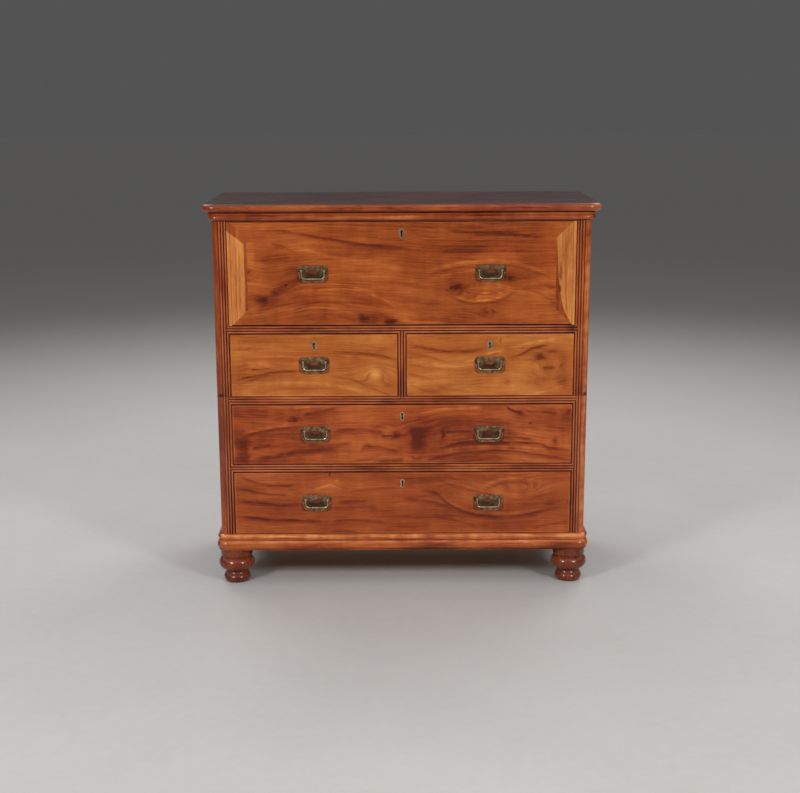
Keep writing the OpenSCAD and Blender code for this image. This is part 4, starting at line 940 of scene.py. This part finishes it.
# the desk sides' front edges show beside the fall, and the stays run on brass studs in them
assign(desk_box, wood_of("fall_clamps"), lambda c: abs(c.x) > 0.47 and c.y < FRONT + 0.012)
assign(desk_box, BRASS, lambda c: 0.464 < abs(c.x) < 0.4728 and abs(c.y + 0.1967) < 0.0022 and 0.915 < c.z < 0.923)
for n in NODES:
    if "brass" in n or "side_plates" in n:
        made = eased(n, 0.3 * MM, [BRASS if "side" in n else PLATES, RUBBED_AND_LIT])
        if "side" not in n:
            # the escutcheons are rubbed brighter than the plates, in the brighter brass that also carries painted
            # highlights
            assign(made, RUBBED_AND_LIT, lambda c: abs(c.x) < 0.05 or min(abs(c.z - row) for row in ROWS) > 0.03)
    elif "bail" in n:
        eased(n, 0.2 * MM, [RUBBED_AND_LIT])
    elif "bolt" in n or n == "quadrant_stays":
        dress(n, BRASS)


# ---------------------------------------------------------------- studio

def floor(scene):
    """A round floor, painted pale under the chest as a pool of light and sinking into the grey of the backdrop a
    few metres away.
    """
    s = Shade("studio_floor")
    far = s.vec("LENGTH", s.vec("MULTIPLY", s.place, (1.0, 1.0, 0.0)))
    cloud = s.math("MULTIPLY", s.noise(s.place, 40.0, 3.0), 0.04)
    cloud = s.math("MULTIPLY_ADD", s.noise(s.place, 1.3, 5.0, 0.6), 0.10, cloud)
    cloud = s.math("MULTIPLY_ADD", s.math("SUBTRACT", cloud, 0.07), s.fit(far, 1.2, 4.0, 2.2, 0.0), 1.0)
    # the tone is a painted pool of light: pale near the chest, darker far off
    tone = s.math("MULTIPLY", s.fit(far, 1.2, 5.5, 0.44, 0.119), cloud)
    colour = s.join(tone, s.math("MULTIPLY", tone, 0.975), s.math("MULTIPLY", tone, 0.94))
    s.set(Base_Color=colour, Roughness=0.8, Specular_IOR_Level=0.15)
    mesh = bpy.data.meshes.new("floor")
    bm = bmesh.new()
    bmesh.ops.create_circle(bm, cap_ends=True, radius=40.0, segments=96)
    bm.to_mesh(mesh)
    bm.free()
    obj = bpy.data.objects.new("floor", mesh)
    mesh.materials.append(s.mat)
    scene.collection.objects.link(obj)


def backdrop(scene):
    """Grey at the horizon, pale above."""
    world = bpy.data.worlds.new("studio")
    scene.world = world
    world.use_nodes = True
    tree = world.node_tree
    way = tree.nodes.new("ShaderNodeTexCoord")
    parts = tree.nodes.new("ShaderNodeSeparateXYZ")
    ramp = tree.nodes.new("ShaderNodeValToRGB")
    ramp.color_ramp.interpolation = "EASE"
    low, high = ramp.color_ramp.elements
    low.position, low.color = 0.27, (0.088, 0.087, 0.089, 1.0)
    high.position, high.color = 0.70, (0.80, 0.80, 0.81, 1.0)
    for out, socket in ((way.outputs["Generated"], parts.inputs[0]), (parts.outputs["Z"], ramp.inputs[0]),
                        (ramp.outputs[0], tree.nodes["Background"].inputs[0])):
        tree.links.new(out, socket)


def softbox(scene, name, place, size, power):
    """A rectangular lamp that points at the chest's middle."""
    light = bpy.data.lights.new(name, "AREA")
    light.shape = "RECTANGLE"
    light.size, light.size_y = size
    light.energy = power
    obj = bpy.data.objects.new(name, light)
    obj.location = place
    obj.rotation_mode = "QUATERNION"
    obj.rotation_quaternion = (Vector((0.0, 0.0, 0.6)) - Vector(place)).to_track_quat("-Z", "Y")
    scene.collection.objects.link(obj)


def camera(scene):
    cam = bpy.data.cameras.new("camera")
    cam.sensor_width = 36.0
    cam.lens = FOCAL * cam.sensor_width / PICTURE
    obj = bpy.data.objects.new("camera", cam)
    scene.collection.objects.link(obj)
    scene.camera = obj
    ahead, right, up = view_axes()
    obj.matrix_world = Matrix.Translation(EYE) @ Matrix((right, up, -ahead)).transposed().to_4x4()


stage = bpy.context.scene
stage.view_settings.view_transform = "Standard"
floor(stage)
backdrop(stage)
softbox(stage, "key_left", (-2.5, -3.2, 2.5), (0.7, 1.0), 76.0)
softbox(stage, "key_right", (2.5, -3.2, 2.5), (0.7, 1.0), 72.0)
softbox(stage, "back_left", (-2.4, 3.2, 4.4), (2.4, 2.0), 72.0)
softbox(stage, "back_right", (2.4, 3.2, 4.4), (2.4, 2.0), 72.0)
camera(stage)
